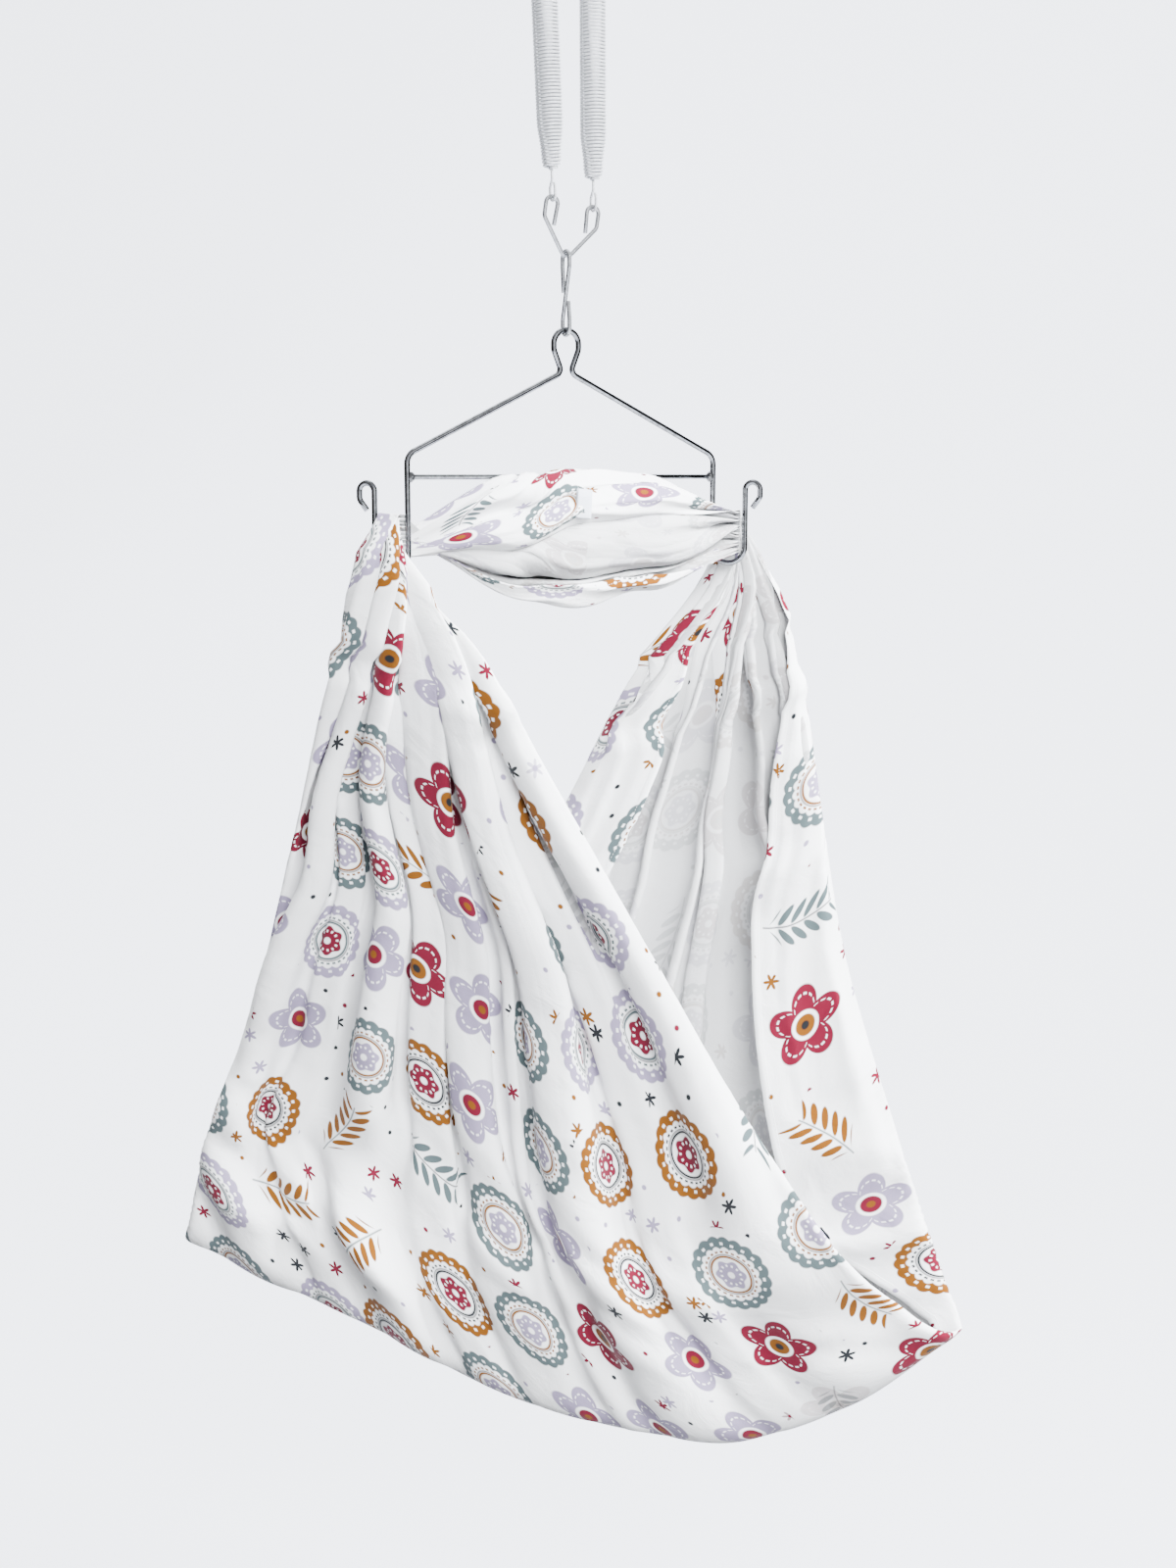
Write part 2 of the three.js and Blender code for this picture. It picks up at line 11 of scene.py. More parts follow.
import bmesh
import bpy
from mathutils import Matrix, Quaternion, Vector, noise


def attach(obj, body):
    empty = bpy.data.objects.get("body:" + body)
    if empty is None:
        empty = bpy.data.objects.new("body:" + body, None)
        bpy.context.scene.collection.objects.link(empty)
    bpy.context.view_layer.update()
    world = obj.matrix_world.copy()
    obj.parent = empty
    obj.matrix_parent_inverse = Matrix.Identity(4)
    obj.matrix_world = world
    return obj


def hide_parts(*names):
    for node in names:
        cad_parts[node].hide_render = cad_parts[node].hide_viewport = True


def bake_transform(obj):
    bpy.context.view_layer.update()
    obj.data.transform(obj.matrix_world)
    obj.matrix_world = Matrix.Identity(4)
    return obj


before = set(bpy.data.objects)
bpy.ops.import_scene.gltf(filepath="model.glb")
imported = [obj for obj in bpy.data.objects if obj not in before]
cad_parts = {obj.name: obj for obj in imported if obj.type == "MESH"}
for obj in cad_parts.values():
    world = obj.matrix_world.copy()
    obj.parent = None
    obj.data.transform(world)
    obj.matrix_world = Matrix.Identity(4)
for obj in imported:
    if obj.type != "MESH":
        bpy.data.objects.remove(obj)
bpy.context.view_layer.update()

# %% [markdown]
# ## The camera
#
# A product photograph of a hanging thing is taken from its middle height with a slightly long lens.
# The camera stands to the left of the front and looks down a little. Its height and distance come
# from how much of the ring, the prongs and the cloth's corners it sees.

# %% The camera
bar_z = -0.6048
camera_above_bar = 0.006
camera_place = Vector((-0.8456, -1.6453, bar_z + camera_above_bar))
camera_heading = math.radians(-27.84)
camera_dip = math.radians(9.3)
lens_length = 43.97
film_width = 36
nearest, farthest = 0.05, 50

camera_data = bpy.data.cameras.new("camera")
camera_data.lens = lens_length
camera_data.sensor_width = film_width
camera_data.clip_start = nearest
camera_data.clip_end = farthest
camera = bpy.data.objects.new("camera", camera_data)
camera.location = camera_place
camera.rotation_euler = (math.radians(90) - camera_dip, 0, camera_heading)
bpy.context.scene.collection.objects.link(camera)
bpy.context.scene.camera = camera
print("camera at", [round(x, 3) for x in camera_place])

# %% [markdown]
# ## Wires
#
# Nearly everything above the cloth is bent wire. A bender pulls straight wire round a pin, so each
# bend is an arc that runs smoothly into the straight parts. The helper below takes the corners of a
# wire with the radius of each bend and gives the points of the smooth line. A curve object then
# puts a round section round the line, and the curve becomes a mesh.

# %% Bent lines and round wires
bend_step = math.radians(5)
least_turn = 0.01
wire_facets = 7
cut_edge = 0.0003


def bent_line(corners):
    """Points along a wire that turns at each corner (x, y, z, bend radius)."""
    places = [Vector(corner[:3]) for corner in corners]
    line = [places[0]]
    for before, place, after, corner in zip(places, places[1:], places[2:], corners[1:]):
        radius = corner[3] if len(corner) > 3 else 0
        coming = (place - before).normalized()
        going = (after - place).normalized()
        turn = coming.angle(going)
        if radius == 0 or turn < least_turn:
            line.append(place)
            continue
        axis = coming.cross(going).normalized()
        start = place - coming * radius * math.tan(turn / 2)
        centre = start + axis.cross(coming) * radius
        steps = max(2, math.ceil(turn / bend_step))
        for step in range(steps + 1):
            line.append(centre + Quaternion(axis, turn * step / steps) @ (start - centre))
    line.append(places[-1])
    return line


def mesh_piece(name, mesh, materials=()):
    """A piece at the origin that holds this mesh, smooth shaded."""
    piece = bpy.data.objects.new(name, mesh)
    bpy.context.scene.collection.objects.link(piece)
    for material in materials:
        mesh.materials.append(material)
    mesh.shade_smooth()
    return piece


def wire_piece(name, points, thickness, material, facets=wire_facets):
    """A round wire along the points, with the edges of its cut ends broken."""
    first, last = points[0], points[-1]
    start = first + (points[1] - first).normalized() * cut_edge
    finish = last + (points[-2] - last).normalized() * cut_edge
    line = [first, start, *points[1:-1], finish, last]
    curve = bpy.data.curves.new(name, "CURVE")
    curve.dimensions = "3D"
    curve.bevel_depth = thickness / 2
    curve.bevel_resolution = facets
    curve.use_fill_caps = True
    spline = curve.splines.new("POLY")
    spline.points.add(len(line) - 1)
    for point, place in zip(spline.points, line):
        point.co = (*place, 1)
    for end in (0, -1):
        spline.points[end].radius = 1 - 2 * cut_edge / thickness
    holder = bpy.data.objects.new(name, curve)
    bpy.context.scene.collection.objects.link(holder)
    mesh = bpy.data.meshes.new_from_object(holder.evaluated_get(bpy.context.evaluated_depsgraph_get()))
    bpy.data.objects.remove(holder)
    mesh.name = name
    mesh.materials.clear()
    piece = mesh_piece(name, mesh, [material])
    print(name, "has", len(mesh.polygons), "faces")
    return piece


# %% [markdown]
# ## Materials and sheets
#
# Every material here is a small tree of nodes, so a few helpers do what all of them need: one adds a
# node and fills its inputs, one makes a ramp of two colours, and one turns a height into a bump. The
# label and the paper of the studio are both strips bent to a side view, so they share a helper too.

# %% Nodes and strips
def connect(tree, entry, value):
    """Links a socket to an input, or sets the input to a value."""
    if isinstance(value, bpy.types.NodeSocket):
        tree.links.new(value, entry)
    else:
        entry.default_value = value


def fill(tree, node, **inputs):
    """A node with the inputs of these names connected."""
    for name, value in inputs.items():
        connect(tree, node.inputs[name.replace("_", " ")], value)
    return node


def add_node(tree, kind, options=(), **inputs):
    """A new shader node with its options set and its inputs filled."""
    node = tree.nodes.new("ShaderNode" + kind)
    for name, value in dict(options).items():
        setattr(node, name, value)
    return fill(tree, node, **inputs)


def vector_math(tree, operation, *values):
    """A step of arithmetic on vectors, with its inputs in order."""
    node = add_node(tree, "VectorMath", {"operation": operation})
    for entry, value in zip(node.inputs, values):
        connect(tree, entry, value)
    return node.outputs[0]


def ramp(tree, factor, low, high):
    """A colour that goes from low to high, each of them a position and a colour."""
    node = add_node(tree, "ValToRGB", Fac=factor)
    for stop, (position, colour) in zip(node.color_ramp.elements, (low, high)):
        stop.position = position
        stop.color = (*colour, 1)
    return node.outputs["Color"]


def bumped(tree, height, strength, distance):
    """The direction of a surface that a height roughens."""
    return add_node(tree, "Bump", Strength=strength, Distance=distance, Height=height).outputs["Normal"]


def new_material(name):
    """A material with its node tree and its shader."""
    material = bpy.data.materials.new(name)
    material.use_nodes = True
    return material, material.node_tree, material.node_tree.nodes["Principled BSDF"]


def strip(name, profile, width, steps, arrange):
    """A grid whose rows lie on a side view of (y, z) points, and which is then arranged."""
    shape = bmesh.new()
    bmesh.ops.create_grid(shape, x_segments=steps, y_segments=len(profile) - 1, size=0.5)
    across = steps + 1
    for index, vert in enumerate(shape.verts):
        y, z = profile[index // across]
        vert.co = ((index % across / steps - 0.5) * width, y, z)
    arrange(shape)
    bmesh.ops.recalc_face_normals(shape, faces=shape.faces)
    mesh = bpy.data.meshes.new(name)
    shape.to_mesh(mesh)
    shape.free()
    return mesh


print("helpers:", ", ".join(made.__name__ for made in (add_node, vector_math, ramp, bumped, strip)))

# %% [markdown]
# ## Metals
#
# The springs, yokes and S-hook are plated with zinc, which is a soft grey and partly dull, so it is
# only in part a metal here. The frame is plated with chrome, which mirrors the room and shows small
# dull marks where hooks and cloth have rubbed. Noise drives the roughness and a slight bump, because
# real plating is never quite even.

# %% Zinc and chrome
dull_end, bright_end = 0.35, 0.6
fewest_clouds, most_clouds = 0.3, 0.7
specks_finer = 9
dent_depth = 0.0002


def plated(name, colour, dull_colour, smoothest, roughest, grain, dent, metal=1):
    """A plated metal whose roughness and tone wander between two values."""
    material, tree, shader = new_material(name)
    place = add_node(tree, "TexCoord").outputs["Object"]
    coarse = add_node(tree, "TexNoise", Scale=grain, Detail=6, Roughness=0.65, Vector=place)
    fine = add_node(tree, "TexNoise", Scale=grain * specks_finer, Detail=2, Vector=place)
    clouds, specks = coarse.outputs["Fac"], fine.outputs["Fac"]
    gloss = add_node(tree, "MapRange", Value=clouds, From_Min=fewest_clouds, From_Max=most_clouds)
    fill(tree, gloss, To_Min=roughest, To_Max=smoothest)
    tone = ramp(tree, clouds, (dull_end, dull_colour), (bright_end, colour))
    fill(tree, shader, Metallic=metal, Base_Color=tone, Roughness=gloss.outputs["Result"])
    fill(tree, shader, Normal=bumped(tree, specks, dent, dent_depth))
    return material


light_zinc, dark_zinc = (0.4, 0.41, 0.425), (0.27, 0.275, 0.285)
light_coil, dark_coil = (0.6, 0.61, 0.63), (0.47, 0.475, 0.49)
light_chrome, dark_chrome = (0.29, 0.3, 0.315), (0.14, 0.143, 0.15)
light_weld, dark_weld = (0.24, 0.245, 0.25), (0.1, 0.1, 0.105)
zinc = plated("zinc_plating", light_zinc, dark_zinc, 0.14, 0.26, 260, 0.1, 0.8)
spring_zinc = plated("spring_plating", light_coil, dark_coil, 0.36, 0.48, 300, 0.06, 0.5)
chrome = plated("chrome_plating", light_chrome, dark_chrome, 0.03, 0.07, 180, 0.08)
weld_plating = plated("weld_plating", light_weld, dark_weld, 0.16, 0.45, 500, 0.8)
print("metals:", zinc.name, spring_zinc.name, chrome.name, weld_plating.name)

# %% [markdown]
# ## The yokes
#
# A yoke is one wire bent to a V with a closed loop at the end of each arm. It could be a curve drawn
# by hand, but the bender's corners are known, so its line is made from them. The lower yoke hangs a
# little askew, because the left spring is a little shorter. The upper one is the same, upside down.

# %% The yokes
yoke_wire = 0.004
yoke_depth = 0.050
yoke_half_angle = math.radians(38)
yoke_apex_bend = 0.007
yoke_arm_bend = 0.008
yoke_loop_width = 0.0126
yoke_tail_gap = 0.0005
yoke_tail_share = 0.73
upper_spread = 0.055
lower_spread = 0.043
lower_tilt = math.radians(9)
upper_apex_z = 0.002
lower_apex_z = -0.4004
spring_to_yoke = 0.0038


def yoke_line(spread, turned, apex_z):
    """The wire of a yoke, turned about Y and hung at its apex."""
    sine, cosine = math.sin(yoke_half_angle), math.cos(yoke_half_angle)
    apex_rise = yoke_apex_bend * (1 / sine - 1)
    outer = (spread + yoke_loop_width) / 2
    inner = (spread - yoke_loop_width) / 2
    arm_top = outer / math.tan(yoke_half_angle) - apex_rise
    tail_along = yoke_tail_share * outer / sine
    tail_away = yoke_wire + yoke_tail_gap
    tail_x = tail_along * sine - tail_away * cosine
    tail_z = tail_along * cosine + tail_away * sine - apex_rise
    arms = []
    for side in (-1, 1):
        arms.append(
            [
                (side * tail_x, 0, tail_z),
                (side * inner, 0, yoke_depth, yoke_loop_width / 2),
                (side * outer, 0, yoke_depth, yoke_loop_width / 2),
                (side * outer, 0, arm_top, yoke_arm_bend),
            ]
        )
    corners = [*arms[0], (0, 0, -apex_rise, yoke_apex_bend), *reversed(arms[1])]
    place = Matrix.Translation((0, 0, apex_z)) @ Matrix.Rotation(turned, 4, "Y")
    return [place @ point for point in bent_line(corners)]


def yoke_loop(side, spread, turned, apex_z, up):
    """The middle of the top of a yoke's loop."""
    loop = Vector((side * spread / 2, 0, up * yoke_depth))
    return Matrix.Rotation(turned, 3, "Y") @ loop + Vector((0, 0, apex_z))


upper_line = yoke_line(upper_spread, math.pi, upper_apex_z)
lower_line = yoke_line(lower_spread, lower_tilt, lower_apex_z)
upper_yoke = wire_piece("upper_yoke_wire", upper_line, yoke_wire, zinc)
lower_yoke = wire_piece("lower_yoke_wire", lower_line, yoke_wire, zinc)

# %% [markdown]
# ## The springs
#
# Each spring is wound closed, coil on coil, and narrows at both ends to a neck, where the wire leaves
# as a long eye. A helix is one line whose radius changes along it, so the same helper makes it. The
# coils stretch when the cradle bounces, but here they stay fixed where they are made.

# %% The springs
spring_wire = 0.0025
spring_pitch = 0.00312
spring_outer = 0.025
spring_neck = 0.019
spring_end = 0.0165
spring_taper = 0.032
spring_neck_length = 0.013
spring_lead = 0.0045
spring_reach = 0.027
eye_half = 0.005
eye_strand = 0.008
eye_shoulder = 0.007
eye_tail_offset = 0.0037
eye_tail_drop = 0.011
coil_steps = 22
spring_facets = 3


def smooth(share):
    share = min(1, max(0, share))
    return share * share * (3 - 2 * share)


def blend_of(low, high, share):
    return low + (high - low) * share


def coil_radius(from_end):
    """How far the wire's middle is from the spring's axis, by the length from the coil's end."""
    wide = (spring_outer - spring_wire) / 2
    neck = (spring_neck - spring_wire) / 2
    narrow = (spring_end - spring_wire) / 2
    if from_end < spring_lead:
        return narrow * smooth(from_end / spring_lead)
    if from_end < spring_neck_length:
        share = (from_end - spring_lead) / (spring_neck_length - spring_lead)
        return blend_of(narrow, neck, math.sin(share * math.pi / 2))
    return blend_of(neck, wide, smooth((from_end - spring_neck_length) / spring_taper))


def eye_corners():
    """The corners of an eye, outwards from the end of the coil."""
    low, high = eye_strand + eye_shoulder, spring_reach
    return [
        (0, -eye_tail_offset, eye_tail_drop),
        (0, -eye_half, low, eye_half),
        (0, -eye_half, high, eye_half),
        (0, eye_half, high, eye_half),
        (0, eye_half, low, eye_half),
        (0, 0, eye_strand, eye_half),
        (0, 0, spring_wire / 10),
    ]


def spring_line(low, high):
    """The whole wire of a spring between its two loops, lower eye first."""
    axis = high - low
    coil_length = axis.length - 2 * spring_reach
    half = coil_length / 2
    lower_eye = bent_line([(x, y, -z - half, *bend) for x, y, z, *bend in eye_corners()])
    upper_eye = bent_line([(x, -y, z + half, *bend) for x, y, z, *bend in eye_corners()])
    turns = round(coil_length / spring_pitch)
    steps = turns * coil_steps
    coil = []
    for step in range(1, steps):
        along = coil_length * step / steps
        angle = 2 * math.pi * turns * step / steps
        radius = coil_radius(min(along, coil_length - along))
        coil.append(Vector((radius * math.cos(angle), radius * math.sin(angle), along - half)))
    upright = Vector((0, 0, 1)).rotation_difference(axis).to_matrix()
    middle = (low + high) / 2
    return [middle + upright @ point for point in [*lower_eye, *coil, *reversed(upper_eye)]]


springs = []
to_yoke = Vector((0, 0, spring_to_yoke))
for name, side in (("left_spring_wire", -1), ("right_spring_wire", 1)):
    upper_eye = yoke_loop(side, upper_spread, 0, upper_apex_z, -1) + to_yoke
    lower_eye = yoke_loop(side, lower_spread, lower_tilt, lower_apex_z, 1) - to_yoke
    spring = wire_piece(name, spring_line(lower_eye, upper_eye), spring_wire, spring_zinc, spring_facets)
    springs.append(spring)
    print(name, "is", round((upper_eye - lower_eye).length, 4), "m from eye to eye")

# %% [markdown]
# ## The S-hook
#
# The S-hook joins the yoke to the ring. Its two bends open to opposite sides, so it stays on when
# the cradle is lifted a little. Like the yokes it is one bent wire.

# %% The S-hook
hook_wire = 0.004
hook_height = 0.077
hook_bend = 0.007
hook_upper_tail = 0.038
hook_lower_tail = 0.031
hook_tail_offset = 0.0048
hook_top_z = -0.3961


def hook_line():
    bend = hook_bend
    low = -hook_height
    corners = [
        (0, hook_tail_offset, -hook_upper_tail),
        (0, bend, -2 * bend, bend),
        (0, bend, 0, bend),
        (0, -bend, 0, bend),
        (0, -bend, -2 * bend, bend),
        (0, bend, low + 2 * bend, bend),
        (0, bend, low, bend),
        (0, -bend, low, bend),
        (0, -bend, low + 2 * bend, bend),
        (0, -hook_tail_offset, low + hook_lower_tail),
    ]
    return [point + Vector((0, 0, hook_top_z)) for point in bent_line(corners)]


s_hook = wire_piece("s_hook_wire", hook_line(), hook_wire, zinc)

# %% [markdown]
# ## The frame
#
# One chromed wire makes the ring, the neck, the two sloping arms, the legs and the U-shaped prongs
# with their curled tips. The left half is the right half turned half a circle about the upright
# axis, so one list of corners serves both. A straight bar is welded between the legs.

# %% The frame wire and the bar
frame_wire_thickness = 0.0056
bar_wire = 0.0048
ring_radius = 0.013
ring_height = 0.1365
ring_side_share = 0.4
ring_side_bend = 0.012
neck_half = 0.0045
neck_height = 0.097
neck_bend = 0.007
leg_x = 0.1635
shoulder_height = 0.020
shoulder_bend = 0.013
prong_depth = 0.085
prong_out = 0.023
prong_back = 0.024
tip_height = 0.0055
tip_curl_width = 0.015
tip_curl_drop = 0.015
tip_end_drop = 0.025
prong_width = math.hypot(prong_out, prong_back)


def frame_half(side):
    """Corners from the tip of a prong up to the ring, on one side."""
    prong_x, prong_y = leg_x + prong_out, -prong_back
    tip_x = prong_x + tip_curl_width * prong_out / prong_width
    tip_y = prong_y - tip_curl_width * prong_back / prong_width
    corners = [
        ((prong_x + tip_x) / 2, (prong_y + tip_y) / 2, -tip_height - tip_end_drop),
        (tip_x, tip_y, -tip_height - tip_curl_drop, tip_curl_width / 2),
        (tip_x, tip_y, -tip_height, tip_curl_width / 2),
        (prong_x, prong_y, -tip_height, tip_curl_width / 2),
        (prong_x, prong_y, -prong_depth, prong_width / 2),
        (leg_x, 0, -prong_depth, prong_width / 2),
        (leg_x, 0, shoulder_height, shoulder_bend),
        (neck_half, 0, neck_height, neck_bend),
        (ring_radius, 0, ring_height - ring_radius - ring_radius * ring_side_share, ring_side_bend),
        (ring_radius, 0, ring_height, ring_radius),
    ]
    return [(side * x, side * y, z, *bend) for x, y, z, *bend in corners]


def on_bar(points):
    return [point + Vector((0, 0, bar_z)) for point in points]


frame_points = on_bar(bent_line([*frame_half(-1), *reversed(frame_half(1))]))
frame_piece = wire_piece("frame_bent_wire", frame_points, frame_wire_thickness, chrome)
bar_end = leg_x - frame_wire_thickness / 2
bar_points = on_bar([Vector((x, 0, 0)) for x in (-bar_end, 0, bar_end)])
bar_piece = wire_piece("cross_bar_rod", bar_points, bar_wire, chrome)
print("the frame's wire has", len(frame_points), "points")

# %% [markdown]
# ## The welds
#
# Where the bar meets a leg there is a small bead of weld that the plating has run over. It is lumpy
# and no two are alike. A sphere whose points are moved by noise gives the lumps, and it sinks into
# the leg and the bar, as a bead does.

# %% The welds
weld_radius = 0.0046
weld_lumps = 0.0009
weld_lumpiness = 420
weld_squeeze = Vector((0.8, 0.95, 1.05))
weld_sunk_share = 0.15


def weld_piece(name, side):
    """A lumpy bead round the end of the bar."""
    shape = bmesh.new()
    bmesh.ops.create_icosphere(shape, subdivisions=4, radius=weld_radius)
    for vert in shape.verts:
        lump = noise.noise(vert.co * weld_lumpiness + Vector((side * 3, 0, 0)))
        vert.co += vert.normal * weld_lumps * lump
        vert.co = Vector(a * b for a, b in zip(vert.co, weld_squeeze))
        vert.co += Vector((side * (bar_end - weld_radius * weld_sunk_share), 0, bar_z))
    mesh = bpy.data.meshes.new(name)
    shape.to_mesh(mesh)
    shape.free()
    return mesh_piece(name, mesh, [weld_plating])


left_weld = weld_piece("left_weld_bead", -1)
right_weld = weld_piece("right_weld_bead", 1)
print("two weld beads of", len(left_weld.data.polygons), "faces")

# %% [markdown]
# ## The sling
#
# The sling is one tube of cotton, about 2.2 m round and 1 m wide. It is gathered into both prongs, so
# a thick twisted run lies between them, and the rest hangs down in pleats to a keel where the baby
# lies. The four rims hang a little slack, and the cloth folds over inwards along them.
#
# A grid of points follows the cloth: rows run round the tube and columns run across its width. Cloth
# doesn't stretch, so each row keeps its width: its line turns to and fro just enough to fit the space
# between the two ends of the row. That gives pleats which are deep near the prongs and shallow at the
# keel, as the real ones are.

# %% Measures of the sling
cloth_width = 1.0
prong_gather_height = 0.042
prong_gather_depth = 0.021
gather_z = -0.0535
gather_run = 0.006
keel_reach_right = 0.331
keel_reach_front = 0.222
keel_drop = 0.977
keel_points = [(0, 0.866), (0.14, 0.955), (0.3, 1), (0.55, 0.97), (0.75, 0.895), (1, 0.803)]
rim_sag = 0.16
pleat_widths = [0.060, 0.122, 0.066, 0.140, 0.052, 0.110, 0.074, 0.128, 0.058, 0.118, 0.072]
pleat_leans = [0.3, -0.2, 0.45, 0.1, -0.4, 0.35, 0.5, -0.3, 0.4, -0.15, 0.3]
columns = 216
run_rows = 44
side_rows = 76


def keel_depth(share):
    """How deep the keel lies, by the share of the way from the front corner to the back one."""
    count = len(keel_points)
    shares = [point[0] for point in keel_points]
    depths = [point[1] for point in keel_points]
    after = next((i for i in range(1, count) if share <= shares[i]), count - 1)
    before = after - 1
    gap = shares[after] - shares[before]

    def slope(i):
        low, high = max(0, i - 1), min(count - 1, i + 1)
        return (depths[high] - depths[low]) / (shares[high] - shares[low])

    t = (share - shares[before]) / gap
    start, finish = slope(before) * gap, slope(after) * gap
    return (
        (2 * t**3 - 3 * t**2 + 1) * depths[before]
        + (t**3 - 2 * t**2 + t) * start
        + (3 * t**2 - 2 * t**3) * depths[after]
        + (t**3 - t**2) * finish
    )


def keel_place(share):
    across = 1 - 2 * share
    depth = keel_drop * keel_depth(share)
    return Vector((across * keel_reach_right, -across * keel_reach_front, -depth))


def prong_along(side):
    """From the leg to the tip of a prong."""
    return Vector((side * prong_out, -side * prong_back, 0)) / prong_width


def prong_through(side):
    """Through a prong, from the run to the hanging side."""
    return Vector((side * prong_back, side * prong_out, 0)) / prong_width


def gather_place(side, through):
    middle = Vector((side * (leg_x + prong_out / 2), -side * prong_back / 2, gather_z))
    return middle + prong_through(side) * through


print("the keel is deepest at", min(round(keel_place(i / 50).z, 3) for i in range(51)), "below the bar")

# %% [markdown]
# ### Pleats from a turning line
#
# A line whose direction swings like a sine wave makes smooth rounded folds. The more it swings, the
# deeper the folds and the narrower the cloth becomes. The helper finds the swing by halving, until
# the folded row is as wide as it must be. At both rims the line starts or ends turned right round,
# which folds the rim inwards.

# %% Pleats
most_swing = 2.15
swing_limit = 3.2
swing_halvings = 22
flap_folding = 0.22
valley_share = 0.55
most_fold_share = 0.4
fold_tightness = 0.022
calm_length = 0.03
calm_start = 0.4
tuck_cell = 0.005
tuck_cells = 5
tuck_gap = 0.003
tuck_slope = 0.12
tuck_length = 0.016
crease_level = 0.2


def rise(at, start, length):
    """0 up to the start, 1 from the length after it, and smooth between."""
    return smooth((at - start) / length)


def hump(at, comes, goes):
    """A rise to 1 and then a fall back to 0, each given by its start and its length."""
    return rise(at, *comes) * (1 - rise(at, *goes))


def ridge(x, y, z):
    """Smooth noise folded up at its middle, so that it has sharp valleys."""
    return abs(noise.noise(Vector((x, y, z)))) - crease_level


def pleat_phases():
    """The count of pleats up to each column, whole at each valley."""
    total = sum(pleat_widths)
    last = len(pleat_widths) - 1
    edges = [0]
    for width in pleat_widths:
        edges.append(edges[-1] + width / total)
    phases = []
    for column in range(columns + 1):
        share = column / columns
        pleat = next((i for i in range(last) if share <= edges[i + 1]), last)
        within = (share - edges[pleat]) / (edges[pleat + 1] - edges[pleat])
        phases.append(pleat + within)
    return phases


phases = pleat_phases()


def valley_pull(phase, strength):
    """Bends the count of pleats so that crests are broad and valleys narrow."""
    return phase + strength * math.sin(2 * math.pi * phase) / (2 * math.pi)


def tucked_in(depths, out, flap, rest):
    """Keeps a flap's columns inside the lowest of the folds that lie over it."""
    floor = {}
    for column in rest:
        key = int(depths[column] / tuck_cell)
        for near in range(key - tuck_cells, key + tuck_cells + 1):
            floor[near] = min(floor.get(near, out[column]), out[column])
    for column in flap:
        depth = depths[column]
        lowest = floor.get(int(depth / tuck_cell), out[column]) - tuck_gap - tuck_slope * depth
        out[column] = blend_of(out[column], min(out[column], lowest), smooth(depth / tuck_length))


def folded_row(span, width, strengths, near_fold, far_fold, wander):
    """A row folded to fit its span: places along it and out from it, for each column.

    A fold is (length of cloth turned in, how far it turns from 0 to 1).
    """
    most = span * most_fold_share
    near_fold, far_fold = [(min(length, most), turn) for length, turn in (near_fold, far_fold)]
    flat_near, flat_far = near_fold[0] * near_fold[1], far_fold[0] * far_fold[1]
    step = width / columns
    turned = []
    for column in range(columns + 1):
        at = column * step
        heading = 0
        for length, turn, from_rim, sign in ((*near_fold, at, 1), (*far_fold, width - at, -1)):
            heading += sign * math.pi * turn * (1 - smooth((from_rim - length) / fold_tightness + 0.5))
        turned.append(heading)

    def walk(swing):
        along, out = [0.0], [0.0]
        for column in range(columns):
            phase = valley_pull((phases[column] + phases[column + 1]) / 2 + wander[column], valley_share)
            at = column * step
            calm = smooth((at - flat_near) / calm_length + calm_start)
            calm *= smooth((width - at - flat_far) / calm_length + calm_start)
            lean = pleat_leans[int(phase) % len(pleat_leans)]
            wave = math.sin(2 * math.pi * phase) + lean * math.sin(4 * math.pi * phase)
            heading = swing * strengths[column] * wave * (flap_folding + (1 - flap_folding) * calm)
            heading = max(-most_swing, min(most_swing, heading)) + turned[column]
            along.append(along[-1] + step * math.cos(heading))
            out.append(out[-1] + step * math.sin(heading))
        return along, out

    def reach(along):
        return max(along) - min(along)

    low, high = 0.0, swing_limit
    for _ in range(swing_halvings):
        middle = (low + high) / 2
        if reach(walk(middle)[0]) > span:
            low = middle
        else:
            high = middle
    along, out = walk(high)
    start, scale = min(along), span / reach(along)
    along = [(place - start) * scale for place in along]
    count = columns + 1
    first = along.index(min(along))
    last = along.index(max(along))
    lean = (out[last] - out[first]) / max(1, last - first)
    out = [place - out[first] - lean * (column - first) for column, place in enumerate(out)]
    if first > 2:
        tucked_in(along, out, range(first), range(first, last + 1))
    if last < columns - 2:
        tucked_in([span - place for place in along], out, range(last + 1, count), range(first, last + 1))
    level = sum(out[first : last + 1]) / (last + 1 - first)
    return along, [place - level for place in out]


test_row = folded_row(0.3, cloth_width, [1] * columns, (0.06, 1), (0.06, 1), [0] * columns)
print("a row of 0.3 m has folds", round(max(test_row[1]) - min(test_row[1]), 3), "m deep")

# %% [markdown]
# ### The hanging sides
#
# Each side is a fan from a prong to the keel. The threads that run to the corners sag, the middle
# ones hang straight, and near the keel the two sides curve towards each other and meet.

# %% The hanging sides
keel_round_share = 0.955
side_swell = 0.024
shoulder_spread = 0.028
shoulder_bulge = 0.02
back_spread = 0.015
keel_flap = 0.028
slack_flap = 0.115
taut_flap = 0.09
first_flap_share = 0.1
slack_start_share = 0.3
left_flare = 0.012
first_room = 0.022
later_room = 0.01
deep_crease = 0.016
fine_crease = 0.008
keel_narrowing = 0.07
keel_shrink = 0.5
pleat_wander = 0.26
pleat_unevenness = 0.75
corner_calm = 0.8
corner_share = 0.45
least_strength = 0.12

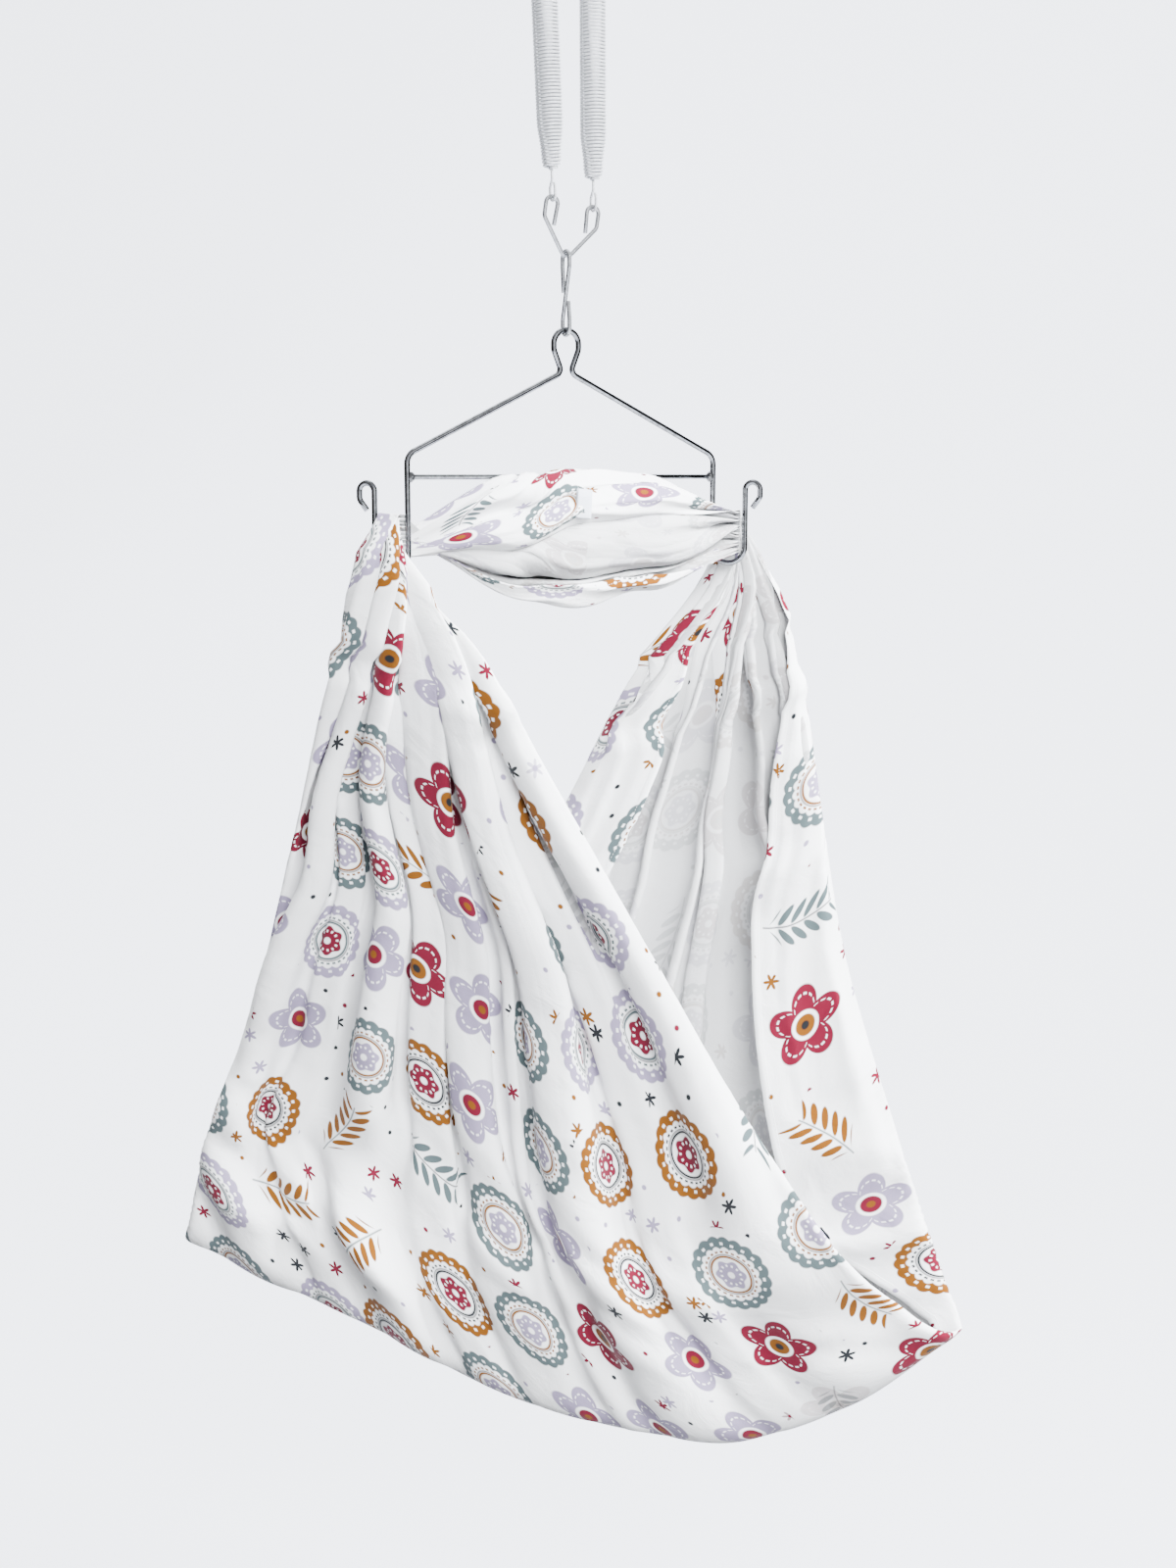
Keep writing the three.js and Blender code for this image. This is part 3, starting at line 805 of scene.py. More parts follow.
# Where each change sets in and how long it takes, as shares of the way from the prong to the keel.
shoulders_come = (0, 0.12)
shoulders_go = {-1: (0.13, 0.6), 1: (0.13, 0.42)}
backs_come, backs_go = (0, 0.06), (0.8, 0.2)
bulges_come, bulges_go = (0, 0.04), (0.05, 0.5)
sides_turn = (0, 0.3)
flaps_turn, flaps_grow = (0, 0.03), (0, 0.3)
slack_grows, slack_narrows = (0.1, 0.6), (0.72, 0.28)
taut_narrows = (0.35, 0.5)
sides_join = (0.6, 0.4)
pleats_vary = (0, 0.3)
corners_calm = (0.35, 0.5)
cloth_narrows = (0.4, 0.6)
pleats_wander = (0, 0.25)
first_room_opens, later_room_opens = (0, 0.06), (0.06, 0.3)
flares_come, flares_go = (0, 0.04), (0.08, 0.2)
swells = (0.6, 0.3)
bundle_opens = (0, 0.05)
deep_creases_come, deep_creases_go = (0, 0.25), (0.85, 0.15)
fine_creases_come, fine_creases_go = (0, 0.1), (0.25, 0.5)


def widening(side, share, down):
    """How far the pleats push the cloth out towards the corners."""
    shoulders = shoulder_spread * hump(down, shoulders_come, shoulders_go[side])
    back = back_spread * hump(down, backs_come, backs_go)
    return blend_of(shoulders, back, share) if side < 0 else shoulders


def fan_place(side, share, down):
    """A point of the smooth fan, before pleats, relative to the bar."""
    start = gather_place(side, gather_run) + Vector((0, 0, -side * (share - 0.5) * prong_gather_height))
    finish = keel_place(share)
    place = start.lerp(finish, down)
    run = math.hypot(finish.x - start.x, finish.y - start.y)
    late = 1 - share if side < 0 else 0
    # Both curves are 1 at their deepest: one sags in the middle and the other nearer to the keel.
    middle_sag, low_sag = 4 * down * (1 - down), 6.75 * down * down * (1 - down)
    sag = blend_of(middle_sag, low_sag, late)
    place.z -= rim_sag * run * sag
    corner = (keel_place(0) - keel_place(1)).normalized()
    place += corner * widening(side, share, down) * (1 - 2 * share)
    return place + prong_through(side) * shoulder_bulge * hump(down, bulges_come, bulges_go)


def side_out(side, down):
    keel_out = Vector((keel_reach_front, keel_reach_right, 0)).normalized() * side
    return (-prong_along(side)).lerp(keel_out, rise(down, *sides_turn)).normalized()


def rim_folds(side, down):
    """The length and turn of the fold at the near rim and at the far rim."""
    turn = rise(down, *flaps_turn)
    growth = blend_of(first_flap_share, 1, rise(down, *flaps_grow))
    slack_length = slack_flap * blend_of(slack_start_share, 1, rise(down, *slack_grows)) * growth
    slack_length = blend_of(slack_length, keel_flap, rise(down, *slack_narrows))
    taut_length = blend_of(taut_flap * growth, keel_flap, rise(down, *taut_narrows))
    slack, taut = (slack_length, turn), (taut_length, turn)
    return (slack, taut) if side > 0 else (taut, slack)


def own_share(side, down):
    """Sets the two sides' folds apart, and brings them together at the keel that they share."""
    return side * (1 - rise(down, *sides_join))


def pleat_strengths(side, down):
    """How strongly each column takes part in the folding of its row."""
    strengths = []
    own = own_share(side, down)
    for column in range(columns):
        share = column / columns
        uneven = noise.noise(Vector((share * 7 + own * 2, down * 1.3, 4 + own)))
        strength = 1 + pleat_unevenness * uneven * rise(down, *pleats_vary)
        corner = rise(down, *corners_calm) * (1 - smooth(share / corner_share))
        strengths.append(max(least_strength, strength * (1 - corner_calm * corner)))
    return strengths


def gathered_row(side, through):
    """The bundle inside a prong: flat pleats stacked between the wires."""
    row = []
    outward = -prong_along(side)
    for column in range(columns + 1):
        share = column / columns
        phase = phases[column] * 2 * math.pi
        height = -side * (share - 0.5) * prong_gather_height
        depth = -math.cos(phase) * prong_gather_depth / 2
        row.append(gather_place(side, through) + Vector((0, 0, height)) + outward * depth)
    return row


def side_row(side, down):
    """The points of one row of a side."""
    fan = [fan_place(side, column / columns, down) for column in range(columns + 1)]
    lengths = [0.0]
    for before, after in zip(fan, fan[1:]):
        lengths.append(lengths[-1] + (after - before).length)
    span = lengths[-1]
    narrow = 1 - keel_narrowing * rise(down, *cloth_narrows)
    own = own_share(side, down)
    wander = []
    for column in range(columns):
        drift = noise.noise(Vector((column / columns * 4 + own, down * 2.2, 9 + own)))
        wander.append(pleat_wander * drift * rise(down, *pleats_wander))
    near_fold, far_fold = rim_folds(side, down)
    strengths = pleat_strengths(side, down)
    along, out = folded_row(span, cloth_width * narrow, strengths, near_fold, far_fold, wander)
    tall = max(out) - min(out)
    room = prong_gather_depth + first_room * rise(down, *first_room_opens)
    room += later_room * rise(down, *later_room_opens)
    flare = left_flare * hump(down, flares_come, flares_go) if side < 0 else 0
    shrink = min(1, (room + flare) / tall)
    outward = side_out(side, down)
    rounding = rise(down, *swells) * side_swell + flare / 2
    if down > keel_round_share:
        left = (down - keel_round_share) / (1 - keel_round_share)
        rounding *= math.sqrt(max(0, 1 - left * left))
        shrink *= 1 - left * keel_shrink
        under = left * math.pi / 2
        outward = outward * math.cos(under) + Vector((0, 0, -math.sin(under)))
    start = gathered_row(side, gather_run)
    opened = rise(down, *bundle_opens)
    deep_share = deep_crease * hump(down, deep_creases_come, deep_creases_go)
    fine_share = fine_crease * hump(down, fine_creases_come, fine_creases_go)
    row = []
    for column in range(columns + 1):
        at = along[column] / span * columns
        before = min(columns - 1, int(at))
        place = fan[before].lerp(fan[before + 1], at - before)
        share = column / columns
        crease = ridge(share * 9 + own * 3, down * 1.8, 2 + own) * deep_share
        crease += ridge(share * 34 + own * 3, down * 1.2, 6 + own) * fine_share
        swell = side_out(side, down) * rounding
        place += swell + outward * (out[column] * shrink + crease)
        row.append(start[column].lerp(place, opened))
    return row


print("a side starts at", [round(x, 3) for x in side_row(1, 0.0)[0]])

# %% [markdown]
# ### The run between the prongs
#
# From prong to prong the bundle opens out under its own slack, turns half over and droops in front
# of the bar. Its outline half way is drawn: a broad front band, a roll of folds behind it,
# and the last fold curling up under the roll.

# %% The run between the prongs
run_stations = (0.27, 0.5, 0.73)
left_opening = 0.36
right_opening = 0.27
left_outline = [
    (-0.026, -0.07), (-0.04, -0.058), (-0.037, -0.04), (-0.022, -0.031), (-0.034, -0.024),
    (-0.029, -0.008), (-0.01, 0.001), (-0.003, -0.024), (-0.006, -0.056), (-0.028, -0.07),
    (-0.036, -0.08), (-0.028, -0.092), (-0.004, -0.088), (0.006, -0.05), (0.016, -0.03),
    (0.026, -0.06), (0.024, -0.094), (-0.016, -0.096), (-0.01, -0.104), (-0.014, -0.113),
    (-0.024, -0.108), (-0.027, -0.1),
]
middle_outline = [
    (-0.034, -0.044), (-0.043, -0.036), (-0.043, -0.028), (-0.04, -0.02), (-0.037, -0.012),
    (-0.029, -0.001), (-0.012, 0.0075), (-0.005, -0.02), (-0.01, -0.036), (-0.034, -0.044),
    (-0.042, -0.066), (-0.032, -0.086), (-0.008, -0.088), (0.006, -0.04), (0.016, -0.024),
    (0.032, -0.056), (0.028, -0.098), (-0.03, -0.096), (-0.014, -0.106), (-0.02, -0.122),
    (-0.032, -0.113), (-0.034, -0.1),
]
right_outline = [
    (-0.026, -0.036), (-0.034, -0.03), (-0.036, -0.024), (-0.034, -0.018), (-0.031, -0.012),
    (-0.024, -0.005), (-0.01, 0.0), (-0.003, -0.016), (-0.008, -0.03), (-0.028, -0.036),
    (-0.038, -0.056), (-0.032, -0.08), (-0.008, -0.082), (0.006, -0.036), (0.014, -0.022),
    (0.028, -0.05), (0.024, -0.088), (-0.026, -0.09), (-0.012, -0.098), (-0.016, -0.109),
    (-0.026, -0.102), (-0.028, -0.095),
]
outline_steps = 12
sway_width = 0.005
run_crease_width = 0.011
sway_drop_share = 0.7


def smooth_outline(points, count):
    """Points spaced evenly along a smooth line through the given ones."""
    fine = []
    last = len(points) - 1
    for i in range(last):
        a, b, c, d = (Vector(points[min(last, max(0, i + k))]) for k in (-1, 0, 1, 2))
        for step in range(outline_steps):
            t = step / outline_steps
            square, cube = 2 * a - 5 * b + 4 * c - d, 3 * b - a - 3 * c + d
            fine.append(0.5 * (2 * b + (c - a) * t + square * t**2 + cube * t**3))
    fine.append(Vector(points[-1]))
    lengths = [0.0]
    for before, after in zip(fine, fine[1:]):
        lengths.append(lengths[-1] + (after - before).length)
    spaced = []
    at = 0
    for i in range(count + 1):
        goal = lengths[-1] * i / count
        while at < len(lengths) - 2 and lengths[at + 1] < goal:
            at += 1
        share = (goal - lengths[at]) / max(1e-9, lengths[at + 1] - lengths[at])
        spaced.append(fine[at].lerp(fine[at + 1], min(1, share)))
    return spaced


def run_outline(share):
    """The outline of the run at a share of its length, for every column."""
    low, middle, high = run_stations
    if share < middle:
        pair, at = (left_outline, middle_outline), smooth((share - low) / (middle - low))
    else:
        pair, at = (middle_outline, right_outline), smooth((share - middle) / (high - middle))
    points = [Vector(a).lerp(Vector(b), at) for a, b in zip(*pair)]
    return smooth_outline(points, columns)


def run_row(share):
    """One row of the run, from the left prong (0) to the right one (1)."""
    near_end = min(share / left_opening, (1 - share) / right_opening)
    spread = math.sin(min(1, near_end) * math.pi / 2)
    outline = run_outline(share)
    left = gathered_row(-1, -gather_run)
    right = gathered_row(1, -gather_run)
    turn = smooth(share)
    row = []
    for column in range(columns + 1):
        bundle = left[column].lerp(right[column], turn)
        bundle.x = blend_of(left[column].x, right[column].x, share)
        at = column / columns
        sway = noise.noise(Vector((share * 5, at * 9, 7))) * sway_width
        sway += ridge(share * 2.2, at * 24, 3) * run_crease_width
        middle = outline[column]
        goal = Vector((bundle.x, middle.x + sway, middle.y + sway * sway_drop_share))
        row.append(bundle.lerp(goal, spread))
    return row


print("the run's front rim is", round(run_outline(0.5)[0].x, 3), "from the bar")

# %% [markdown]
# ### One grid for the whole cloth
#
# The rows are laid round the tube, starting and ending at the sewn seam half way along the run. A grid
# gets its points from the rows and its flat cloth measures as UV coordinates, in metres, so the
# weave, the print and the hems all keep their real size. Then the two edges at the seam are joined.

# %% The cloth's grid
seam_share = 0.5
tube_length = 2.2


def sling_rows():
    """All rows, each with the length of cloth from the seam."""
    rows = []
    half = run_rows // 2
    for step in range(half + 1):
        share = seam_share + (1 - seam_share) * step / half
        rows.append(run_row(share))
    for step in range(side_rows + 1):
        rows.append(side_row(1, step / side_rows))
    for step in range(side_rows - 1, -1, -1):
        rows.append(side_row(-1, step / side_rows))
    for step in range(half + 1):
        rows.append(run_row(seam_share * step / half))
    return [[place + Vector((0, 0, bar_z)) for place in row] for row in rows]


rows = sling_rows()
steps = []
for before, after in zip(rows, rows[1:]):
    gaps = sorted((b - a).length for a, b in zip(before, after))
    steps.append(gaps[len(gaps) // 2])
around = [0.0]
for gap in steps:
    around.append(around[-1] + gap)
around = [place / around[-1] * tube_length for place in around]
print("rows:", len(rows), "length round the tube:", round(sum(steps), 3), "m")


def sling_mesh(name):
    """The grid with its points on the rows and its UVs in metres of flat cloth."""
    shape = bmesh.new()
    bmesh.ops.create_grid(shape, x_segments=columns, y_segments=len(rows) - 1, size=0.5)
    shape.verts.ensure_lookup_table()
    flat = shape.loops.layers.uv.new("cloth")
    across = columns + 1
    for vert in shape.verts:
        vert.co = rows[vert.index // across][vert.index % across]
    for face in shape.faces:
        for loop in face.loops:
            index = loop.vert.index
            loop[flat].uv = (index % across / columns * cloth_width, around[index // across])
    bmesh.ops.reverse_faces(shape, faces=shape.faces)
    bmesh.ops.remove_doubles(shape, verts=shape.verts, dist=0.00001)
    mesh = bpy.data.meshes.new(name)
    shape.to_mesh(mesh)
    shape.free()
    return mesh


cloth_mesh = sling_mesh("sling_of_cotton")
print("cloth faces:", len(cloth_mesh.polygons))

# %% [markdown]
# ## Numbers that vary over the cloth
#
# A printed pattern can be an image, but a pattern worked out by the material stays sharp at any
# distance. Its shapes are sums of simple steps, so a small helper lets the script write them as plain
# arithmetic, and each sign makes one Math node.


# %% Arithmetic with Math nodes
class Varying:
    """A number that varies over a surface, held by a socket of a material."""

    def __init__(self, tree, socket):
        self.tree = tree
        self.socket = socket

    def joined(self, how, *others, limited=False):
        node = self.tree.nodes.new("ShaderNodeMath")
        node.operation = how
        node.use_clamp = limited
        for entry, value in zip(node.inputs, (self, *others)):
            connect(self.tree, entry, getattr(value, "socket", value))
        return Varying(self.tree, node.outputs[0])

    def __add__(self, other):
        return self.joined("ADD", other)

    def __sub__(self, other):
        return self.joined("SUBTRACT", other)

    def __mul__(self, other):
        return self.joined("MULTIPLY", other)

    def __truediv__(self, other):
        return self.joined("DIVIDE", other)

    def sine(self):
        return self.joined("SINE")

    def size(self):
        return self.joined("ABSOLUTE")

    def below(self, edge, soft):
        """1 where the number is below the edge and 0 above it, with a soft step."""
        return ((self * -1) + edge).joined("MULTIPLY_ADD", 1 / soft, 0.5, limited=True)

    def above(self, edge, soft):
        return (self - edge).joined("MULTIPLY_ADD", 1 / soft, 0.5, limited=True)

    def band(self, middle, half, soft):
        """1 in a narrow ring of values."""
        return (self - middle).size().below(half, soft)


def parts_of(tree, vector):
    """The x and y of a vector."""
    split = add_node(tree, "SeparateXYZ", Vector=vector)
    return Varying(tree, split.outputs[0]), Varying(tree, split.outputs[1])


def painted(tree, ground, paint, mask):
    """Paint laid over a ground colour where the mask is 1."""
    mix = add_node(tree, "Mix", {"data_type": "RGBA"})
    for entry, value in ((mix.inputs[6], ground), (mix.inputs[7], paint)):
        connect(tree, entry, (*value, 1) if isinstance(value, tuple) else value)
    connect(tree, mix.inputs[0], getattr(mask, "socket", mask))
    return mix.outputs[2]


print("a number knows", len([name for name in dir(Varying) if not name.startswith("__")]), "words")

# %% [markdown]
# ## The printed cotton
#
# The cloth is thin white cotton with a loose scatter of printed motifs: rosettes of rings, five-petal
# flowers and leaf sprigs, with dots and sparkles between them. A Voronoi texture deals out cells over
# the flat cloth. Each cell gives its motif a middle, a turn, a kind and its colours, so nothing repeats.
# A motif is drawn in shares of its own reach, so that one value sets the size of them all.
# The inner side is the same print seen through the threads, much paler.

# %% Inks and layout
mustard = (0.15, 0.05, 0.003)
raspberry = (0.115, 0.004, 0.017)
lilac = (0.25, 0.215, 0.32)
slate = (0.065, 0.09, 0.095)
charcoal = (0.008, 0.009, 0.011)
cotton_white = (0.86, 0.865, 0.875)
motif_cell = 0.106
motif_reach = 0.385
filler_cell = 0.034
ink_edge = 0.035
kind_edge = 0.002
whole_turn = 6.283
seed_slant = 0.37


def scattered(tree, flat, cell, unevenness, seed):
    """The place within a cell's motif, its distance, its angle and three random numbers."""
    shift = (seed, seed * seed_slant, 0)
    sized = vector_math(tree, "MULTIPLY_ADD", flat, (1 / cell, 1 / cell, 0), shift)
    plane = {"voronoi_dimensions": "2D"}
    cells = add_node(tree, "TexVoronoi", plane, Scale=1, Randomness=unevenness, Vector=sized)
    from_middle = vector_math(tree, "SUBTRACT", sized, cells.outputs["Position"])
    colours = add_node(tree, "SeparateColor", Color=cells.outputs["Color"])
    chances = [Varying(tree, colours.outputs[i]) for i in range(3)]
    turned = add_node(tree, "VectorRotate", {"rotation_type": "Z_AXIS"}, Vector=from_middle)
    fill(tree, turned, Angle=(chances[0] * whole_turn).socket)
    x, y = parts_of(tree, turned.outputs[0])
    distance = (x * x + y * y).joined("SQRT")
    angle = y.joined("ARCTAN2", x)
    return x, y, distance, angle, chances


def rosette(tree, ground, distance, angle, mask, inks):
    """Rings round a spotted middle, with a scalloped outer edge."""
    outer, ring, heart = inks
    scallop = (angle * 9).sine().size() * 0.06
    edge = distance - scallop
    here = ground
    here = painted(tree, here, outer, edge.band(0.82, 0.13, ink_edge) * mask)
    spots = (angle * 18).sine().above(0.55, 0.2)
    here = painted(tree, here, cotton_white, distance.band(0.83, 0.03, ink_edge) * spots * mask)
    dashes = (angle * 26).sine().above(-0.2, 0.3)
    here = painted(tree, here, ring, distance.band(0.625, 0.026, ink_edge) * dashes * mask)
    here = painted(tree, here, charcoal, distance.band(0.555, 0.014, ink_edge) * mask)
    here = painted(tree, here, ring, distance.band(0.5, 0.03, ink_edge) * mask)
    petal = (angle * 6).sine() * 0.04 + 0.37
    here = painted(tree, here, heart, (distance - petal).below(0, ink_edge) * mask)
    seeds = (angle * 12).sine().above(0.3, 0.3)
    here = painted(tree, here, cotton_white, distance.band(0.26, 0.028, ink_edge) * seeds * mask)
    return painted(tree, here, cotton_white, distance.below(0.09, ink_edge) * mask)


def flower(tree, ground, distance, angle, mask, inks):
    """Five broad petals, each with a paler line inside it."""
    petals, lines, heart = inks
    petal = (angle * 2.5).sine().size() * 0.42 + 0.56
    share = distance / petal
    here = painted(tree, ground, petals, share.below(0.96, ink_edge * 1.4) * mask)
    dashes = (angle * 30).sine().above(-0.3, 0.3)
    here = painted(tree, here, cotton_white, share.band(0.74, 0.022, ink_edge) * dashes * mask)
    here = painted(tree, here, cotton_white, distance.below(0.34, ink_edge) * mask)
    here = painted(tree, here, lines, distance.below(0.25, ink_edge) * mask)
    return painted(tree, here, heart, distance.below(0.1, ink_edge) * mask)


def sprig(tree, ground, x, y, mask, inks):
    """A curved stem with pairs of leaves."""
    leaves, stem = inks[:2]
    bend = x - y * y * 0.16
    length = y.size().below(0.9, ink_edge)
    here = painted(tree, ground, stem, bend.size().below(0.018, ink_edge) * length * mask)
    step = (y + bend.size() * -0.75 + 1.0) * 3.1
    within = step.joined("FRACT") - 0.5
    across = bend.size() - 0.26
    leaf = (across * across) / 0.05 + (within * within) / 0.11
    reach = (y - bend.size() * 0.75).size().below(0.78, ink_edge)
    return painted(tree, here, leaves, leaf.below(1, 0.35) * reach * mask)


print("motif cells of", motif_cell, "m, with small marks in cells of", filler_cell, "m")

# %% [markdown]
# ### The two faces of the cloth
#
# The outer face carries the full print. The inner face shows it faintly, because the ink sinks only part
# of the way through, and it is painted darker all over as painted shade. Both have the plain weave,
# creases from packing, and the stitched hem and seam, which are bands of a doubled cloth with a row of
# thread.

# %% The cotton materials
hem_width = 0.008
stitch_pitch = 0.003
thread_pitch = 0.0006
thread_half = 0.0003
thread_edge = 0.0002
hem_edge = 0.0006
hem_stitch_inset = 0.0012
seam_stitch_inset = 0.006
thread_grey = (0.79, 0.8, 0.82)
thread_strength, thread_softness = 0.6, 0.5
relief_strength, relief_distance = 0.5, 1.0
cloud_scale, cloud_strength = 26, 0.06
crease_scale, crease_height = 17, 0.006
gather_scale, gather_height = (19, 3, 0), 0.009
gathers_from_keel = (0.5, 0.8)
weave_height = 0.00004
hem_height = 0.0005
thread_sink = 0.0003
motif_seed, motif_unevenness = 9.6, 0.24
filler_seed, filler_unevenness = 5.1, 0.8
rosettes_to, flowers_to = 0.52, 0.78


def shared_out(chance, part, parts):
    """1 where a random number falls in this part of so many equal parts."""
    return chance.band((part + 0.5) / parts, 0.5 / parts, kind_edge)


def print_colour(tree, flat):
    """The full print over white cotton."""
    x, y, distance, angle, chances = scattered(tree, flat, motif_cell, motif_unevenness, motif_seed)
    x, y, distance = x / motif_reach, y / motif_reach, distance / motif_reach
    kind, shade = chances[1], chances[2]
    colour = cotton_white
    inks = ((lilac, slate, raspberry), (mustard, charcoal, raspberry), (slate, mustard, lilac))
    for part, trio in enumerate(inks):
        mask = shared_out(shade, part, 3)
        colour = rosette(tree, colour, distance, angle, mask * kind.below(rosettes_to, kind_edge), trio)
    blooms = ((raspberry, mustard, charcoal), (lilac, raspberry, mustard))
    middle, half = (rosettes_to + flowers_to) / 2, (flowers_to - rosettes_to) / 2
    for part, trio in enumerate(blooms):
        mask = shared_out(shade, part, 2)
        colour = flower(tree, colour, distance, angle, mask * kind.band(middle, half, kind_edge), trio)
    greens = ((slate, charcoal, mustard), (mustard, slate, charcoal))
    for part, trio in enumerate(greens):
        mask = shared_out(shade, part, 2)
        colour = sprig(tree, colour, x, y, mask * kind.above(flowers_to, kind_edge), trio)
    between = distance.above(1.22, 0.02)
    x, y, distance, angle, chances = scattered(tree, flat, filler_cell, filler_unevenness, filler_seed)
    star = (angle * 6).sine() * 0.08 + 0.17
    spark = (distance - star).below(0, ink_edge) * chances[2].below(0.3, kind_edge)
    dot = distance.below(0.075, ink_edge) * chances[2].band(0.55, 0.25, kind_edge)
    marks = (spark + dot) * between
    for part, ink in enumerate((mustard, raspberry, lilac, charcoal)):
        colour = painted(tree, colour, ink, marks * shared_out(chances[1], part, 4))
    return colour


def thread_wave(place, pitch):
    """A wave that goes up and down once for each thread or stitch."""
    return (place * (2 * math.pi / pitch)).sine()


def cotton(name, strength, whiteness_and_shade):
    """Printed cotton; the strength of the print is 1 outside and small inside, and a low white level
    paints shade on the inner face.
    """
    material, tree, shader = new_material(name)
    uv = add_node(tree, "UVMap", {"uv_map": "cloth"}).outputs["UV"]
    print_seen = painted(tree, cotton_white, print_colour(tree, uv), strength)
    across, along = parts_of(tree, uv)
    from_middle = (across - cloth_width / 2).size()
    from_keel = (along - tube_length / 2).size()
    hem = from_middle.above(cloth_width / 2 - hem_width, hem_edge)
    hem_row = from_middle.band(cloth_width / 2 - hem_width + hem_stitch_inset, thread_half, thread_edge)
    thread = hem_row * thread_wave(along, stitch_pitch).above(0, thread_softness)
    seam_row = from_keel.band(tube_length / 2 - seam_stitch_inset, thread_half, thread_edge)
    seam_line = seam_row * thread_wave(across, stitch_pitch).above(0, thread_softness)
    shade = painted(tree, print_seen, thread_grey, (thread + seam_line) * thread_strength)
    cloud = add_node(tree, "TexNoise", Scale=cloud_scale, Detail=5, Vector=uv).outputs["Fac"]
    # The colour is scaled by a level: near 1 outside, the cloth's own white; much lower inside, which is
    # painted shade. The noise adds random tone.
    tone = Varying(tree, cloud).joined("MULTIPLY_ADD", cloud_strength, whiteness_and_shade)
    toned_and_shaded = add_node(tree, "VectorMath", {"operation": "SCALE"}, Vector=shade, Scale=tone.socket)
    fill(tree, shader, Base_Color=toned_and_shaded.outputs[0], Roughness=0.82, Specular_IOR_Level=0.25)
    fill(tree, shader, Sheen_Weight=0.12, Sheen_Roughness=0.4)
    weave = thread_wave(across, thread_pitch) * thread_wave(along, thread_pitch)
    crumple = add_node(tree, "TexNoise", Scale=crease_scale, Detail=7, Roughness=0.55, Distortion=0.7)
    creases = Varying(tree, fill(tree, crumple, Vector=uv).outputs["Fac"])
    drawn = vector_math(tree, "MULTIPLY", uv, gather_scale)
    gathers = add_node(tree, "TexNoise", Scale=1, Detail=3, Roughness=0.5, Distortion=0.4, Vector=drawn)
    ridges = (Varying(tree, gathers.outputs["Fac"]) - 0.5).size()
    height = creases * crease_height + ridges * from_keel.above(*gathers_from_keel) * gather_height
    height = height + weave * weave_height + hem * hem_height + (thread + seam_line) * -thread_sink
    fill(tree, shader, Normal=bumped(tree, height.socket, relief_strength, relief_distance))
    return material


outer_cotton = cotton("printed_cotton_outside", 1, 0.965)
# The inside's low level of 0.58 is painted shade: it darkens the whole inner face as if it lay in shade.
inner_cotton = cotton("printed_cotton_inside", 0.3, 0.58)
for made in (outer_cotton, inner_cotton):
    print(made.name, "has", len(made.node_tree.nodes), "nodes")

# %% [markdown]
# ### Thickness
#
# A sheet with no thickness looks wrong at its rims. Solidify gives the cloth its two faces, and the
# inner face takes the second material.

# %% The sling in place
cloth_thickness = 0.0005
sling = mesh_piece("sling_of_cotton", cloth_mesh, [outer_cotton, inner_cotton])
thickness = sling.modifiers.new("two faces", "SOLIDIFY")
thickness.thickness = cloth_thickness
thickness.offset = -1
thickness.material_offset = 1
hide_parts("sling_cloth")
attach(sling, "cradle")
print("the sling rides on the cradle")

# %% [markdown]
# ## The label
#
# A short white tape is folded double and caught in the seam, on the front of the run. The tape is
# bare. A strip is bent round on itself and gets a little thickness, and its material is a
# satin weave of fine ribs.

# %% The label
label_width = 0.015
label_length = 0.026
label_top = Vector((-0.0015, -0.0405, -0.0115))
label_lean = math.radians(7)
label_roll = 0.0011
label_pitch = math.radians(-6)
label_ripple = 0.0009
label_ripples = 4
label_folds = (0.3, 0.6, 0.85)
label_bends = 6
label_steps = 6


def label_piece(name):
    """A tape folded at its lower end, hanging on the front band of the run."""
    profile = [(-label_roll, -label_length * share) for share in (0, *label_folds)]
    for step in range(label_bends + 1):
        angle = math.pi * step / label_bends
        profile.append((-label_roll * math.cos(angle), -label_length - label_roll * math.sin(angle)))
    profile += [(label_roll, -label_length * share) for share in (*reversed(label_folds), 0)]
    turn = Matrix.Rotation(label_lean, 4, "Y") @ Matrix.Rotation(label_pitch, 4, "X")
    place = Matrix.Translation(label_top + Vector((0, 0, bar_z)))

    def hang(shape):
        for vert in shape.verts:
            ripple = math.sin(vert.co.x / label_width * label_ripples)
            vert.co.y += label_ripple * ripple * (vert.co.z / label_length)
        bmesh.ops.transform(shape, matrix=place @ turn, verts=shape.verts)

    return strip(name, profile, label_width, label_steps, hang)


rib_scale = 900
rib_depth = 0.0002
tape, tape_tree, tape_shader = new_material("label_tape")
tape_place = add_node(tape_tree, "TexCoord").outputs["Object"]
ribs = add_node(
    tape_tree, "TexWave", {"bands_direction": "Z"}, Scale=rib_scale, Distortion=0.4, Vector=tape_place
).outputs["Fac"]
# Painted shade: the white tape is coloured greyer than the cloth, and darker still in the grooves
# between its ribs.
tape_tone_and_shade = ramp(tape_tree, ribs, (0, (0.5, 0.54, 0.62)), (1, (0.68, 0.71, 0.78)))
fill(tape_tree, tape_shader, Roughness=0.5, Sheen_Weight=0.2, Base_Color=tape_tone_and_shade)
fill(tape_tree, tape_shader, Normal=bumped(tape_tree, ribs, 0.3, rib_depth))

label_thickness = 0.0004
label = mesh_piece("label_loop", label_piece("label_loop"), [tape])
label_body = label.modifiers.new("tape", "SOLIDIFY")
label_body.thickness = label_thickness
label_body.offset = 0
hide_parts("label_tag")
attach(label, "cradle")
print("the label has", len(label.data.polygons), "faces")
